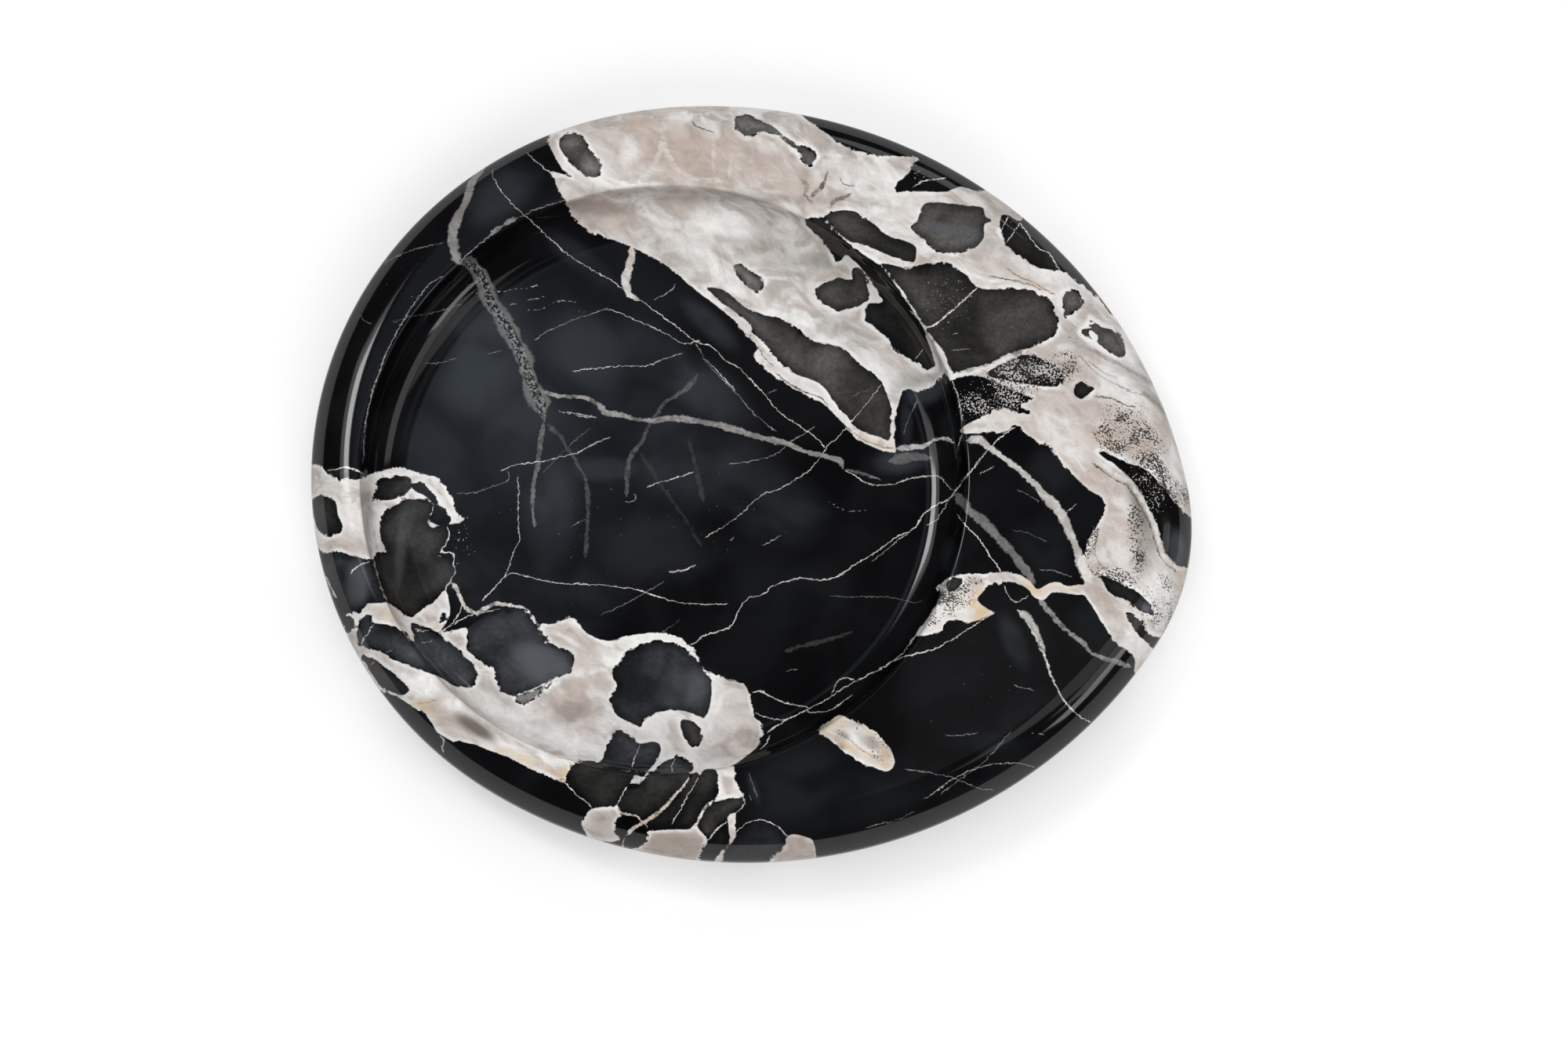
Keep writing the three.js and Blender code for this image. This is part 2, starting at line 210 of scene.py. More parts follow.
# Dark fragments that lie in or beside the beds: grey level and outline
FRAGMENTS = {
    "rim slot": (0.205, [
        (713, 181), (728, 169), (742, 174), (756, 194), (768, 211), (764, 224), (748, 226), (731, 211),
        (718, 196),
    ]),
    "north rim": (0.135, [
        (938, 149), (953, 146), (967, 152), (987, 162), (998, 172), (1016, 183), (1036, 192), (1041, 200),
        (1033, 212), (1024, 206), (1019, 195), (1004, 183), (990, 172), (970, 169), (953, 175), (938, 163),
    ]),
    "back wall": (0.014, [
        (1025, 282), (1047, 276), (1066, 296), (1083, 311), (1098, 322), (1124, 340), (1140, 360),
        (1155, 383), (1168, 403), (1178, 419), (1184, 437), (1192, 461), (1189, 471), (1179, 472),
        (1170, 464), (1152, 453), (1141, 446), (1135, 435), (1127, 427), (1114, 416), (1104, 408),
        (1103, 395), (1110, 387), (1120, 388), (1126, 383), (1117, 370), (1109, 359), (1098, 341),
        (1087, 331), (1080, 325), (1072, 333), (1066, 335), (1061, 324), (1052, 311), (1039, 297),
    ]),
    "bowl bed upper": (0.050, [
        (1040, 370), (1048, 363), (1060, 358), (1069, 354), (1080, 357), (1087, 356), (1087, 344),
        (1095, 341), (1103, 351), (1107, 367), (1109, 381), (1099, 388), (1093, 392), (1083, 394),
        (1069, 397), (1056, 391), (1044, 383),
    ]),
    "bowl bed small": (0.330, [
        (932, 338), (947, 338), (958, 347), (975, 358), (967, 373), (955, 367), (944, 355),
    ]),
    "bowl bed long": (0.062, [
        (901, 367), (918, 368), (930, 375), (944, 387), (967, 400), (987, 404), (1004, 410), (1021, 424),
        (1039, 436), (1059, 439), (1079, 447), (1098, 466), (1115, 478), (1126, 490), (1131, 503),
        (1137, 519), (1136, 545), (1134, 562), (1120, 557), (1107, 553), (1088, 542), (1076, 527),
        (1062, 510), (1053, 496), (1041, 487), (1016, 478), (996, 464), (983, 448), (964, 427), (950, 407),
        (930, 393), (912, 378),
    ]),
    "shelf ridge": (0.042, [
        (1052, 277), (1069, 269), (1082, 268), (1095, 272), (1106, 280), (1117, 287), (1127, 297),
        (1138, 303), (1151, 306), (1163, 311), (1168, 316), (1169, 325), (1166, 335), (1157, 333),
        (1136, 327), (1111, 316), (1095, 311), (1083, 308), (1066, 293),
    ]),
    "big shelf": (0.036, [
        (1123, 336), (1148, 340), (1171, 339), (1192, 335), (1207, 335), (1220, 343), (1232, 350),
        (1240, 360), (1247, 366), (1259, 369), (1289, 368), (1312, 369), (1326, 375), (1343, 385),
        (1343, 394), (1349, 404), (1350, 415), (1345, 427), (1333, 435), (1312, 444), (1285, 456),
        (1264, 465), (1238, 474), (1216, 476), (1205, 452), (1197, 440), (1182, 423), (1169, 400),
        (1151, 371), (1136, 350),
    ]),
    "north-east grey": (0.125, [
        (1178, 260), (1197, 258), (1217, 260), (1232, 262), (1253, 264), (1257, 276), (1266, 281),
        (1255, 287), (1255, 302), (1247, 314), (1232, 320), (1213, 323), (1195, 321), (1182, 310),
        (1169, 299), (1162, 290), (1171, 279),
    ]),
    "north-east rim": (0.020, [
        (1276, 274), (1287, 275), (1303, 281), (1320, 250), (1400, 320), (1450, 400), (1420, 403),
        (1404, 384), (1385, 368), (1372, 357), (1362, 350), (1352, 346), (1339, 345), (1322, 341),
        (1306, 331), (1293, 322), (1282, 310), (1276, 295),
    ]),
    "east rim oval": (0.095, [
        (1356, 373), (1370, 370), (1379, 379), (1382, 390), (1372, 396), (1359, 404), (1356, 390),
    ]),
    "east rim lens": (0.165, [
        (1395, 412), (1399, 411), (1405, 418), (1416, 419), (1427, 425), (1433, 435), (1436, 450),
        (1432, 456), (1422, 453), (1409, 445), (1399, 436), (1401, 430), (1392, 421),
    ]),
    "east rim chip": (0.080, [
        (1378, 424), (1387, 418), (1391, 404), (1394, 411), (1389, 424), (1393, 434),
    ]),
    "east triangle": (0.032, [
        (1369, 499), (1373, 488), (1382, 488), (1389, 492), (1395, 495), (1388, 504), (1380, 509),
        (1372, 505),
    ]),
    "east bar": (0.008, [
        (1400, 577), (1409, 576), (1418, 582), (1432, 587), (1442, 592), (1455, 595), (1468, 604),
        (1478, 615), (1490, 628), (1497, 640), (1506, 648), (1516, 658), (1560, 668), (1560, 730),
        (1514, 724), (1504, 723), (1493, 715), (1485, 704), (1480, 690), (1477, 675), (1472, 662),
        (1466, 651), (1460, 638), (1452, 627), (1446, 615), (1437, 606), (1429, 599), (1419, 590),
        (1411, 586),
    ]),
    "east lower lens": (0.016, [
        (1401, 732), (1410, 735), (1430, 744), (1445, 752), (1458, 761), (1464, 769), (1471, 780),
        (1470, 785), (1458, 781), (1445, 773), (1435, 766), (1422, 760), (1413, 754), (1407, 743),
    ]),
    "east bottom lens": (0.030, [
        (1436, 781), (1447, 784), (1458, 792), (1459, 799), (1467, 809), (1484, 814), (1510, 820),
        (1490, 850), (1473, 831), (1465, 822), (1453, 810), (1444, 799), (1438, 790),
    ]),
    "cove": (0.028, [
        (481, 616), (490, 609), (504, 607), (521, 608), (525, 614), (520, 628), (510, 635), (503, 638),
        (475, 637), (478, 626),
    ]),
    "teardrop": (0.005, [
        (524, 618), (534, 615), (541, 617), (549, 626), (558, 637), (566, 649), (577, 664), (569, 668),
        (558, 670), (547, 664), (551, 654), (553, 643), (547, 636), (535, 629), (526, 623),
    ]),
    "west rim oval": (0.020, [
        (399, 636), (409, 632), (423, 635), (429, 643), (431, 656), (437, 670), (433, 681), (419, 684),
        (409, 681), (402, 667), (398, 650),
    ]),
    "big west": (0.028, [
        (485, 670), (488, 655), (499, 649), (514, 640), (528, 638), (544, 643), (549, 649), (546, 660),
        (545, 666), (552, 673), (559, 672), (569, 672), (572, 681), (568, 695), (560, 705), (556, 709),
        (570, 714), (579, 728), (576, 738), (566, 751), (552, 763), (537, 777), (527, 786), (518, 780),
        (502, 770), (493, 766), (485, 741), (479, 720), (482, 707), (493, 705), (486, 689),
    ]),
    "west lower rim": (0.032, [
        (413, 723), (419, 712), (430, 704), (447, 709), (462, 712), (472, 714), (476, 722), (482, 741),
        (491, 767), (471, 767), (466, 772), (459, 776), (447, 783), (438, 779), (433, 767), (423, 748),
        (415, 732),
    ]),
    "west rim chip": (0.050, [(437, 791), (447, 785), (453, 790), (451, 801), (443, 808)]),
    "south-west long": (0.066, [
        (456, 815), (460, 791), (469, 784), (474, 793), (493, 797), (505, 801), (516, 808), (523, 818),
        (529, 815), (526, 797), (542, 802), (551, 809), (564, 816), (580, 824), (591, 834), (599, 842),
        (605, 852), (608, 862), (603, 873), (593, 877), (581, 875), (571, 869), (557, 861), (545, 857),
        (524, 849), (510, 844), (500, 838), (488, 831), (474, 826), (462, 823),
    ]),
    "south-west rim lens": (0.020, [
        (462, 836), (474, 838), (488, 848), (500, 857), (510, 866), (520, 876), (522, 882), (513, 887),
        (503, 884), (489, 878), (481, 870), (470, 853), (463, 844),
    ]),
    "south-west middle": (0.048, [
        (598, 800), (624, 785), (650, 780), (668, 778), (676, 793), (689, 808), (699, 819), (688, 818),
        (713, 827), (719, 829), (730, 834), (729, 856), (719, 861), (710, 863), (687, 876), (664, 885),
        (642, 884), (635, 873), (630, 856), (621, 848), (607, 838), (597, 831), (597, 816),
    ]),
    "south-west wedge": (0.390, [(656, 889), (687, 878), (712, 867), (698, 877), (681, 891), (667, 899)]),
    "round": (0.027, [
        (780, 858), (790, 842), (804, 828), (822, 821), (839, 818), (856, 820), (873, 827), (887, 839),
        (898, 856), (906, 866), (908, 878), (907, 894), (902, 910), (897, 916), (885, 911), (870, 907),
        (853, 906), (836, 911), (822, 917), (817, 928), (804, 922), (790, 915), (782, 906), (778, 891),
        (787, 877), (782, 865),
    ]),
    "south wall left": (0.036, [
        (782, 934), (793, 931), (807, 940), (817, 948), (833, 946), (841, 949), (843, 957), (839, 968),
        (830, 980), (822, 984), (793, 983), (765, 980), (771, 962), (776, 948),
    ]),
    "south wall right": (0.050, [
        (845, 973), (856, 967), (870, 966), (882, 973), (885, 980), (876, 987), (856, 989), (833, 987),
    ]),
    "south small": (0.042, [
        (868, 919), (876, 917), (886, 922), (895, 934), (898, 942), (891, 951), (880, 951), (873, 942),
        (869, 931),
    ]),
    "south upper": (0.058, [
        (895, 1046), (903, 1030), (913, 1024), (932, 1019), (946, 1018), (946, 1026), (936, 1034),
        (928, 1042), (917, 1050), (909, 1060), (903, 1065), (897, 1060),
    ]),
    "south slim": (0.008, [
        (903, 1074), (915, 1058), (926, 1052), (929, 1066), (926, 1076), (919, 1085), (911, 1096),
        (908, 1125), (888, 1125), (893, 1095), (897, 1085),
    ]),
    "south oval": (0.012, [
        (922, 1091), (938, 1069), (946, 1057), (956, 1050), (968, 1048), (983, 1051), (994, 1058),
        (1002, 1070), (1000, 1081), (990, 1091), (981, 1097), (978, 1130), (921, 1130),
    ]),
    "south black upper": (0.003, [
        (783, 1057), (789, 1046), (801, 1041), (815, 1043), (817, 1047), (805, 1056), (798, 1066),
        (793, 1069), (787, 1067),
    ]),
    "south black lower": (0.003, [
        (797, 1076), (800, 1068), (808, 1060), (820, 1056), (825, 1064), (824, 1072), (815, 1080),
        (803, 1082), (798, 1080),
    ]),
    "cream corner": (0.050, [(1207, 745), (1217, 737), (1228, 739), (1222, 750), (1211, 755)]),
    "south rim left": (0.021, [
        (728, 976), (750, 970), (776, 977), (799, 984), (812, 984), (798, 1009), (786, 1021), (784, 1028),
        (757, 1029), (750, 1022), (736, 1009), (727, 999), (724, 989),
    ]),
    "south rim middle": (0.034, [
        (819, 1002), (829, 984), (874, 985), (880, 989), (873, 1005), (846, 1028), (819, 1044), (809, 1041),
        (794, 1034), (790, 1024), (799, 1009), (809, 1004),
    ]),
    "south rim narrow": (0.026, [
        (882, 988), (891, 987), (879, 1018), (857, 1053), (830, 1054), (818, 1049), (846, 1033),
        (872, 1009),
    ]),
    "south rim right": (0.024, [
        (895, 984), (914, 982), (916, 1002), (912, 1016), (896, 1028), (889, 1044), (879, 1054),
        (859, 1054), (879, 1022),
    ]),
    "speckled wedge": (0.028, [
        (1258, 477), (1288, 457), (1318, 452), (1344, 468), (1358, 481), (1350, 492), (1330, 493),
        (1305, 489), (1280, 484),
    ]),
    "green spot": (0.020, [(565, 781), (569, 783), (567, 792), (561, 796), (560, 790)]),
}

# Fragments of a bluer grey than the others
COOL_FRAGMENTS = {
    "south-west middle", "south-west long", "round", "south wall left", "south wall right", "south oval",
    "west lower rim",
}

# Bedding: how far its direction is turned from the long axis, and how it draws the grain out
BEDDING_TURN = math.radians(23.5)
BEDDING_STRETCH = (0.68, 1, 1)

# Veins, and highlights painted like veins: half width, strength from black to white, and course
VEINS_AND_HIGHLIGHTS = [
    # Painted highlight along the bowl's lip, on its left and far left, drawn as pale veins
    (1.7, 0.32, [
        (463, 593), (465, 553), (472, 512), (486, 467), (504, 427), (528, 387), (546, 364), (566, 351),
    ]),
    (1.5, 0.26, [(587, 333), (605, 317), (625, 301)]),
    (1.7, 0.50, [(477, 713), (479, 726), (483, 740), (488, 754), (494, 768)]),
    ((1.2, 5.0), 0.30, [(622, 302), (632, 294), (642, 287)]),
    ((5.0, 1.2), 0.30, [(641, 288), (650, 283), (661, 277)]),
    (1.5, 0.22, [(661, 277), (682, 268), (704, 260), (733, 251)]),
    # North-west rim and bowl
    ((3.4, 5.6), 0.36, [
        (619, 172), (626, 188), (618, 208), (607, 224), (594, 255), (584, 278), (577, 295), (578, 312),
        (583, 331), (592, 337),
    ]),
    (1.2, 0.75, [
        (631, 213), (628, 223), (637, 241), (654, 261), (669, 274), (689, 292), (709, 312), (732, 330),
        (760, 347), (780, 358), (793, 368), (823, 387), (849, 407), (869, 421), (887, 436), (907, 441),
        (924, 459), (944, 470), (976, 504), (990, 522), (1010, 537), (1030, 550), (1044, 562), (1053, 573),
    ]),
    (0.9, 0.45, [(887, 436), (901, 463), (921, 483), (944, 507), (964, 530), (993, 553)]),
    (1.6, 0.70, [(671, 193), (683, 205), (694, 215), (706, 222)]),
    (0.8, 0.40, [(568, 309), (528, 318), (499, 330), (488, 338)]),
    (0.8, 0.35, [(591, 388), (574, 393), (548, 400), (522, 404), (499, 413)]),
    (0.9, 0.40, [(456, 401), (468, 411), (476, 414)]),
    (1.0, 0.40, [(680, 436), (697, 423), (726, 410), (752, 401), (778, 391)]),
    (0.9, 0.35, [(620, 452), (643, 446)]),
    (0.8, 0.30, [(539, 464), (562, 463), (585, 457)]),
    (0.9, 0.40, [(864, 360), (852, 373), (832, 384)]),
    (1.1, 0.55, [(769, 393), (795, 401), (829, 416), (852, 427), (872, 439), (895, 434)]),
    (1.1, 0.70, [(728, 474), (757, 470), (795, 467), (826, 467), (849, 457), (872, 450)]),
    (4.0, 0.95, [(806, 312), (805, 330), (800, 347), (797, 362), (804, 376), (818, 384)]),
    # Long grey vein across the bowl
    ((2.6, 3.8), 0.42, [
        (688, 499), (723, 506), (743, 506), (763, 516), (773, 527), (795, 530), (815, 536), (835, 536),
        (861, 533), (887, 537), (915, 542), (944, 550), (973, 559), (1001, 565), (1027, 576), (1053, 582),
        (1071, 588), (1076, 599),
    ]),
    (1.5, 0.55, [
        (1076, 599), (1093, 609), (1110, 618), (1125, 619), (1140, 617), (1168, 609), (1197, 607),
        (1206, 616), (1216, 627),
    ]),
    (2.4, 0.22, [(1078, 599), (1100, 604), (1125, 613)]),
    (5.0, 0.26, [
        (1216, 627), (1229, 641), (1238, 654), (1254, 664), (1273, 686), (1292, 705), (1308, 727),
        (1321, 746),
    ]),
    (2.6, 0.36, [
        (1324, 760), (1335, 776), (1346, 789), (1357, 801), (1367, 810), (1380, 818), (1389, 830),
        (1398, 836), (1413, 842), (1427, 845), (1444, 851),
    ]),
    # Grey and white veins of the bowl floor
    (2.4, 0.20, [(694, 536), (689, 565), (686, 593), (680, 622), (679, 651), (683, 674)]),
    (2.5, 0.075, [
        (697, 540), (714, 556), (723, 571), (735, 588), (747, 611), (750, 645), (748, 694), (746, 712),
    ]),
    (2.6, 0.11, [
        (891, 476), (878, 493), (861, 506), (846, 515), (838, 527), (826, 545), (818, 565), (806, 579),
        (800, 599), (799, 634),
    ]),
    (2.4, 0.026, [(816, 576), (843, 619), (872, 659), (895, 698)]),
    (2.4, 0.036, [(878, 559), (887, 593), (898, 642)]),
    (1.2, 0.70, [
        (637, 602), (648, 596), (666, 592), (694, 588), (720, 582), (735, 578), (752, 569), (780, 557),
    ]),
    (0.9, 0.40, [(648, 598), (647, 613), (608, 628), (580, 630)]),
    (1.0, 0.13, [(691, 605), (723, 571), (755, 545)]),
    (1.4, 0.55, [(661, 606), (661, 636), (661, 665), (662, 688), (654, 708), (648, 726), (643, 737)]),
    (1.3, 0.75, [
        (613, 767), (626, 754), (643, 737), (650, 731), (663, 733), (683, 738), (709, 744), (743, 745),
        (777, 747), (815, 753), (835, 760), (855, 766), (878, 770), (930, 771),
    ]),
    (1.0, 0.24, [(849, 741), (826, 754), (806, 766), (783, 777), (763, 786)]),
    (2.0, 0.70, [(852, 730), (872, 727), (889, 721)]),
    (0.9, 0.20, [(869, 789), (855, 800), (841, 807)]),
    (1.6, 0.95, [
        (879, 823), (891, 817), (901, 809), (927, 802), (938, 791), (941, 780), (954, 763), (971, 760),
        (984, 748), (1001, 742), (1019, 737), (1044, 740), (1064, 737), (1082, 727), (1093, 718),
        (1114, 707), (1139, 688), (1168, 673), (1177, 657), (1192, 645), (1209, 638), (1224, 619),
        (1241, 597), (1260, 574), (1280, 555), (1297, 544),
    ]),
    (1.0, 0.60, [(1110, 718), (1130, 702), (1145, 689), (1160, 680)]),
    (1.1, 0.60, [
        (898, 687), (921, 672), (944, 657), (958, 642), (976, 629), (993, 624), (1016, 611), (1033, 599),
        (1043, 588), (1056, 569), (1073, 553), (1085, 539), (1102, 519), (1125, 489),
    ]),
    (1.0, 0.36, [(927, 593), (958, 588), (987, 581), (1007, 565), (1041, 543)]),
    (1.1, 0.65, [(823, 622), (838, 616), (858, 611), (887, 602)]),
    (1.6, 0.60, [(930, 690), (937, 684)]),
    (0.9, 0.50, [(970, 697), (984, 690), (998, 682)]),
    (0.9, 0.45, [(795, 641), (809, 639), (813, 634), (806, 629)]),
    (0.9, 0.22, [
        (1056, 760), (1082, 761), (1108, 761), (1133, 761), (1152, 766), (1168, 768), (1179, 766),
    ]),
    (2.4, 0.045, [(999, 831), (1031, 822), (1062, 815), (1089, 805)]),
    (1.0, 0.50, [(1000, 856), (1020, 853)]),
    (0.9, 0.30, [(976, 504), (993, 496)]),
    (0.8, 0.35, [(1082, 507), (1110, 496)]),
    (1.2, 0.45, [(720, 525), (763, 533)]),
    # Right side of the bowl and the shelf
    # Painted reflection: a soft pale glint on the right of the cove
    (5.0, 0.15, [(1132, 589), (1152, 585), (1172, 583), (1190, 584)]),
    (2.6, 0.75, [(1143, 573), (1165, 570), (1181, 569), (1192, 560), (1207, 560), (1217, 566)]),
    (1.6, 0.60, [(1215, 484), (1222, 507), (1226, 528), (1227, 547)]),
    (2.0, 0.85, [(1228, 552), (1225, 560), (1222, 570)]),
    (2.2, 0.75, [(1180, 419), (1194, 413), (1213, 398), (1230, 383), (1247, 366)]),
    (1.2, 0.80, [(1178, 444), (1172, 453), (1166, 461)]),
    (3.2, 0.85, [(1179, 421), (1187, 432), (1198, 446), (1205, 460), (1210, 475), (1216, 483)]),
    (3.0, 0.85, [(1216, 482), (1230, 476), (1241, 472), (1264, 466), (1285, 457), (1312, 445)]),
    (2.4, 0.80, [
        (1084, 309), (1095, 313), (1111, 319), (1127, 327), (1139, 332), (1147, 338), (1157, 342),
        (1168, 337),
    ]),
    ((4.4, 7.0), 0.80, [
        (1231, 562), (1248, 561), (1264, 572), (1280, 584), (1305, 603), (1327, 625), (1343, 644),
        (1353, 654), (1362, 673), (1370, 692), (1378, 714), (1388, 735), (1392, 745),
    ]),
    (1.0, 0.60, [(1248, 606), (1270, 593)]),
    (1.0, 0.55, [(1359, 654), (1375, 641)]),
    (0.9, 0.25, [(1289, 676), (1312, 680), (1337, 692)]),
    (0.9, 0.35, [(1295, 624), (1312, 631), (1327, 641)]),
    (1.2, 0.75, [(1219, 654), (1229, 667), (1248, 686), (1260, 705), (1273, 724), (1278, 732)]),
    (1.2, 0.60, [(1209, 638), (1204, 650), (1193, 664), (1180, 672)]),
    (1.0, 0.40, [(1324, 727), (1345, 728), (1369, 737)]),
    (1.4, 0.75, [(1163, 239), (1178, 231), (1209, 226)]),
    (1.3, 0.75, [(1286, 275), (1276, 298)]),
    (1.5, 0.75, [(1302, 282), (1293, 296), (1283, 311)]),
    (1.6, 0.70, [(1300, 284), (1312, 300), (1325, 318), (1338, 322), (1345, 334), (1352, 346)]),
    # Cream patch and the south-east
    (1.2, 0.80, [(1280, 746), (1286, 761), (1296, 769), (1305, 764), (1313, 759)]),
    (1.4, 0.80, [(1270, 780), (1248, 794), (1219, 813), (1190, 829), (1155, 837), (1138, 845)]),
    (1.6, 0.85, [
        (1170, 808), (1152, 832), (1137, 845), (1120, 855), (1109, 859), (1094, 868), (1069, 882),
        (1048, 896), (1028, 906), (1008, 916), (991, 925), (977, 935),
    ]),
    (1.3, 0.70, [(1089, 885), (1071, 899), (1054, 908), (1037, 909), (1027, 906)]),
    (2.2, 0.70, [(959, 884), (971, 882), (982, 888), (997, 895), (1014, 899), (1033, 903)]),
    (2.0, 0.60, [(1060, 886), (1069, 868), (1077, 865), (1091, 868)]),
    (1.4, 0.75, [(962, 908), (968, 912), (980, 916), (997, 918), (1008, 916)]),
    (1.2, 0.75, [(984, 937), (976, 950), (968, 957)]),
    ((4.2, 2.4), 0.85, [(1297, 777), (1312, 790), (1320, 804), (1327, 820), (1332, 836)]),
    (2.2, 0.70, [(1327, 820), (1333, 840), (1344, 870), (1355, 891), (1373, 911), (1393, 922)]),
    (1.0, 0.30, [(1152, 981), (1177, 984), (1215, 992), (1252, 1007), (1269, 1008)]),
    (1.0, 0.55, [
        (1177, 1021), (1200, 1005), (1220, 991), (1243, 981), (1261, 976), (1295, 973), (1309, 976),
        (1322, 979),
    ]),
    (1.2, 0.20, [(1292, 931), (1281, 942), (1269, 957), (1249, 977), (1220, 997), (1198, 1014)]),
    (0.9, 0.40, [(1203, 938), (1226, 938), (1249, 934)]),
    (0.9, 0.25, [(1100, 1057), (1123, 1051), (1143, 1046), (1169, 1034)]),
    (0.9, 0.40, [(1291, 873), (1306, 877), (1321, 881)]),
    (1.6, 0.20, [(955, 985), (963, 1008), (966, 1020)]),
    # East edge and light ribbons of the pale beds
    (2.6, 0.85, [
        (1395, 585), (1406, 594), (1417, 600), (1429, 609), (1442, 615), (1450, 627), (1459, 641),
        (1464, 652), (1471, 665), (1475, 678), (1479, 693), (1484, 706), (1493, 717), (1505, 726),
        (1514, 726),
    ]),
    (2.8, 0.55, [(847, 152), (846, 170), (850, 194), (861, 213), (881, 226), (903, 230), (923, 231)]),
    (2.6, 0.50, [(846, 172), (841, 196), (833, 212), (822, 231)]),
    (2.6, 0.45, [(911, 180), (909, 200), (911, 222)]),
    (2.6, 0.40, [(934, 196), (931, 212), (929, 229)]),
    (2.4, 0.40, [(1408, 452), (1430, 474), (1462, 490), (1485, 508)]),
    (1.2, 0.60, [(895, 454), (918, 476), (938, 499)]),
    (1.0, 0.50, [(1213, 427), (1224, 423)]),
    (1.0, 0.30, [(1211, 447), (1240, 445)]),
    (1.4, 0.65, [(776, 916), (796, 921), (810, 928), (819, 934)]),
    (1.4, 0.80, [(1124, 385), (1117, 376), (1112, 362), (1104, 350)]),
    (1.2, 0.25, [(1171, 509), (1160, 530), (1152, 555)]),
    # West and south-west
    (1.7, 0.85, [(416, 602), (426, 599), (440, 596), (451, 599), (465, 605)]),
    (1.7, 0.80, [(473, 716), (462, 719), (451, 726), (446, 733)]),
    (1.7, 0.80, [
        (570, 670), (574, 682), (568, 695), (562, 704), (571, 704), (578, 707), (579, 720), (581, 730),
        (573, 744), (566, 756),
    ]),
    (1.4, 0.70, [(546, 660), (549, 670), (556, 674)]),
    (2.5, 0.90, [
        (576, 742), (585, 757), (590, 768), (596, 777), (607, 782), (618, 776), (631, 771), (646, 771),
        (660, 774), (671, 777),
    ]),
    (1.2, 0.70, [(561, 807), (577, 795), (586, 781), (590, 770)]),
    (1.2, 0.70, [(577, 797), (597, 786), (617, 781), (640, 776)]),
    (1.2, 0.65, [(527, 802), (540, 806), (549, 803)]),
    (1.0, 0.60, [(535, 820), (545, 819), (554, 814)]),
    (1.3, 0.60, [(478, 795), (470, 806), (463, 816), (461, 825)]),
    (1.0, 0.60, [(490, 834), (502, 828)]),
    (1.0, 0.55, [(471, 849), (480, 843)]),
    (2.2, 0.80, [(559, 938), (567, 943), (564, 953), (566, 962)]),
    (1.6, 0.80, [(658, 888), (687, 876), (712, 865)]),
    (2.0, 0.70, [(415, 733), (421, 749), (430, 764)]),
    # South
    (1.6, 0.85, [(719, 996), (728, 1006), (739, 1017), (751, 1026), (756, 1031)]),
    (2.0, 0.80, [(842, 962), (834, 976), (826, 986), (822, 992)]),
    (1.6, 0.80, [(817, 948), (809, 967), (806, 980)]),
    (1.4, 0.50, [(862, 966), (857, 976), (857, 987)]),
    (4.2, 0.80, [(803, 999), (811, 995), (824, 991)]),
    (1.6, 0.80, [(800, 1002), (791, 1019), (786, 1029)]),
    ((1.0, 2.4), 0.95, [
        (879, 990), (874, 1001), (862, 1013), (846, 1031), (828, 1045), (809, 1056), (799, 1066),
    ]),
    (1.4, 0.75, [(891, 990), (881, 1009), (867, 1033), (856, 1053)]),
    (1.5, 0.75, [(787, 1029), (791, 1037), (801, 1039), (813, 1041), (821, 1049), (826, 1058)]),
    (1.5, 0.75, [(797, 1066), (794, 1076), (797, 1084), (811, 1083), (823, 1076)]),
    (2.0, 0.80, [(948, 1014), (950, 1024), (946, 1031), (938, 1038)]),
    (1.6, 0.80, [
        (938, 1062), (945, 1056), (955, 1049), (968, 1046), (983, 1049), (996, 1057), (1004, 1069),
    ]),
    (2.0, 0.80, [(898, 1083), (902, 1073), (910, 1063), (920, 1053), (929, 1047)]),
    # Side of the round edge that the photograph doesn't show
    ((1.6, 3.0), 0.45, [(560, 250), (548, 236), (541, 219)]),
    (1.4, 0.50, [(478, 340), (470, 322), (473, 305)]),
    (1.4, 0.40, [(418, 440), (405, 436), (396, 424)]),
    (1.4, 0.50, [(1196, 198), (1204, 184), (1199, 170)]),
    (1.6, 0.50, [(1250, 1040), (1262, 1046), (1270, 1060)]),
    (1.4, 0.45, [(1375, 950), (1388, 952), (1398, 962)]),
]

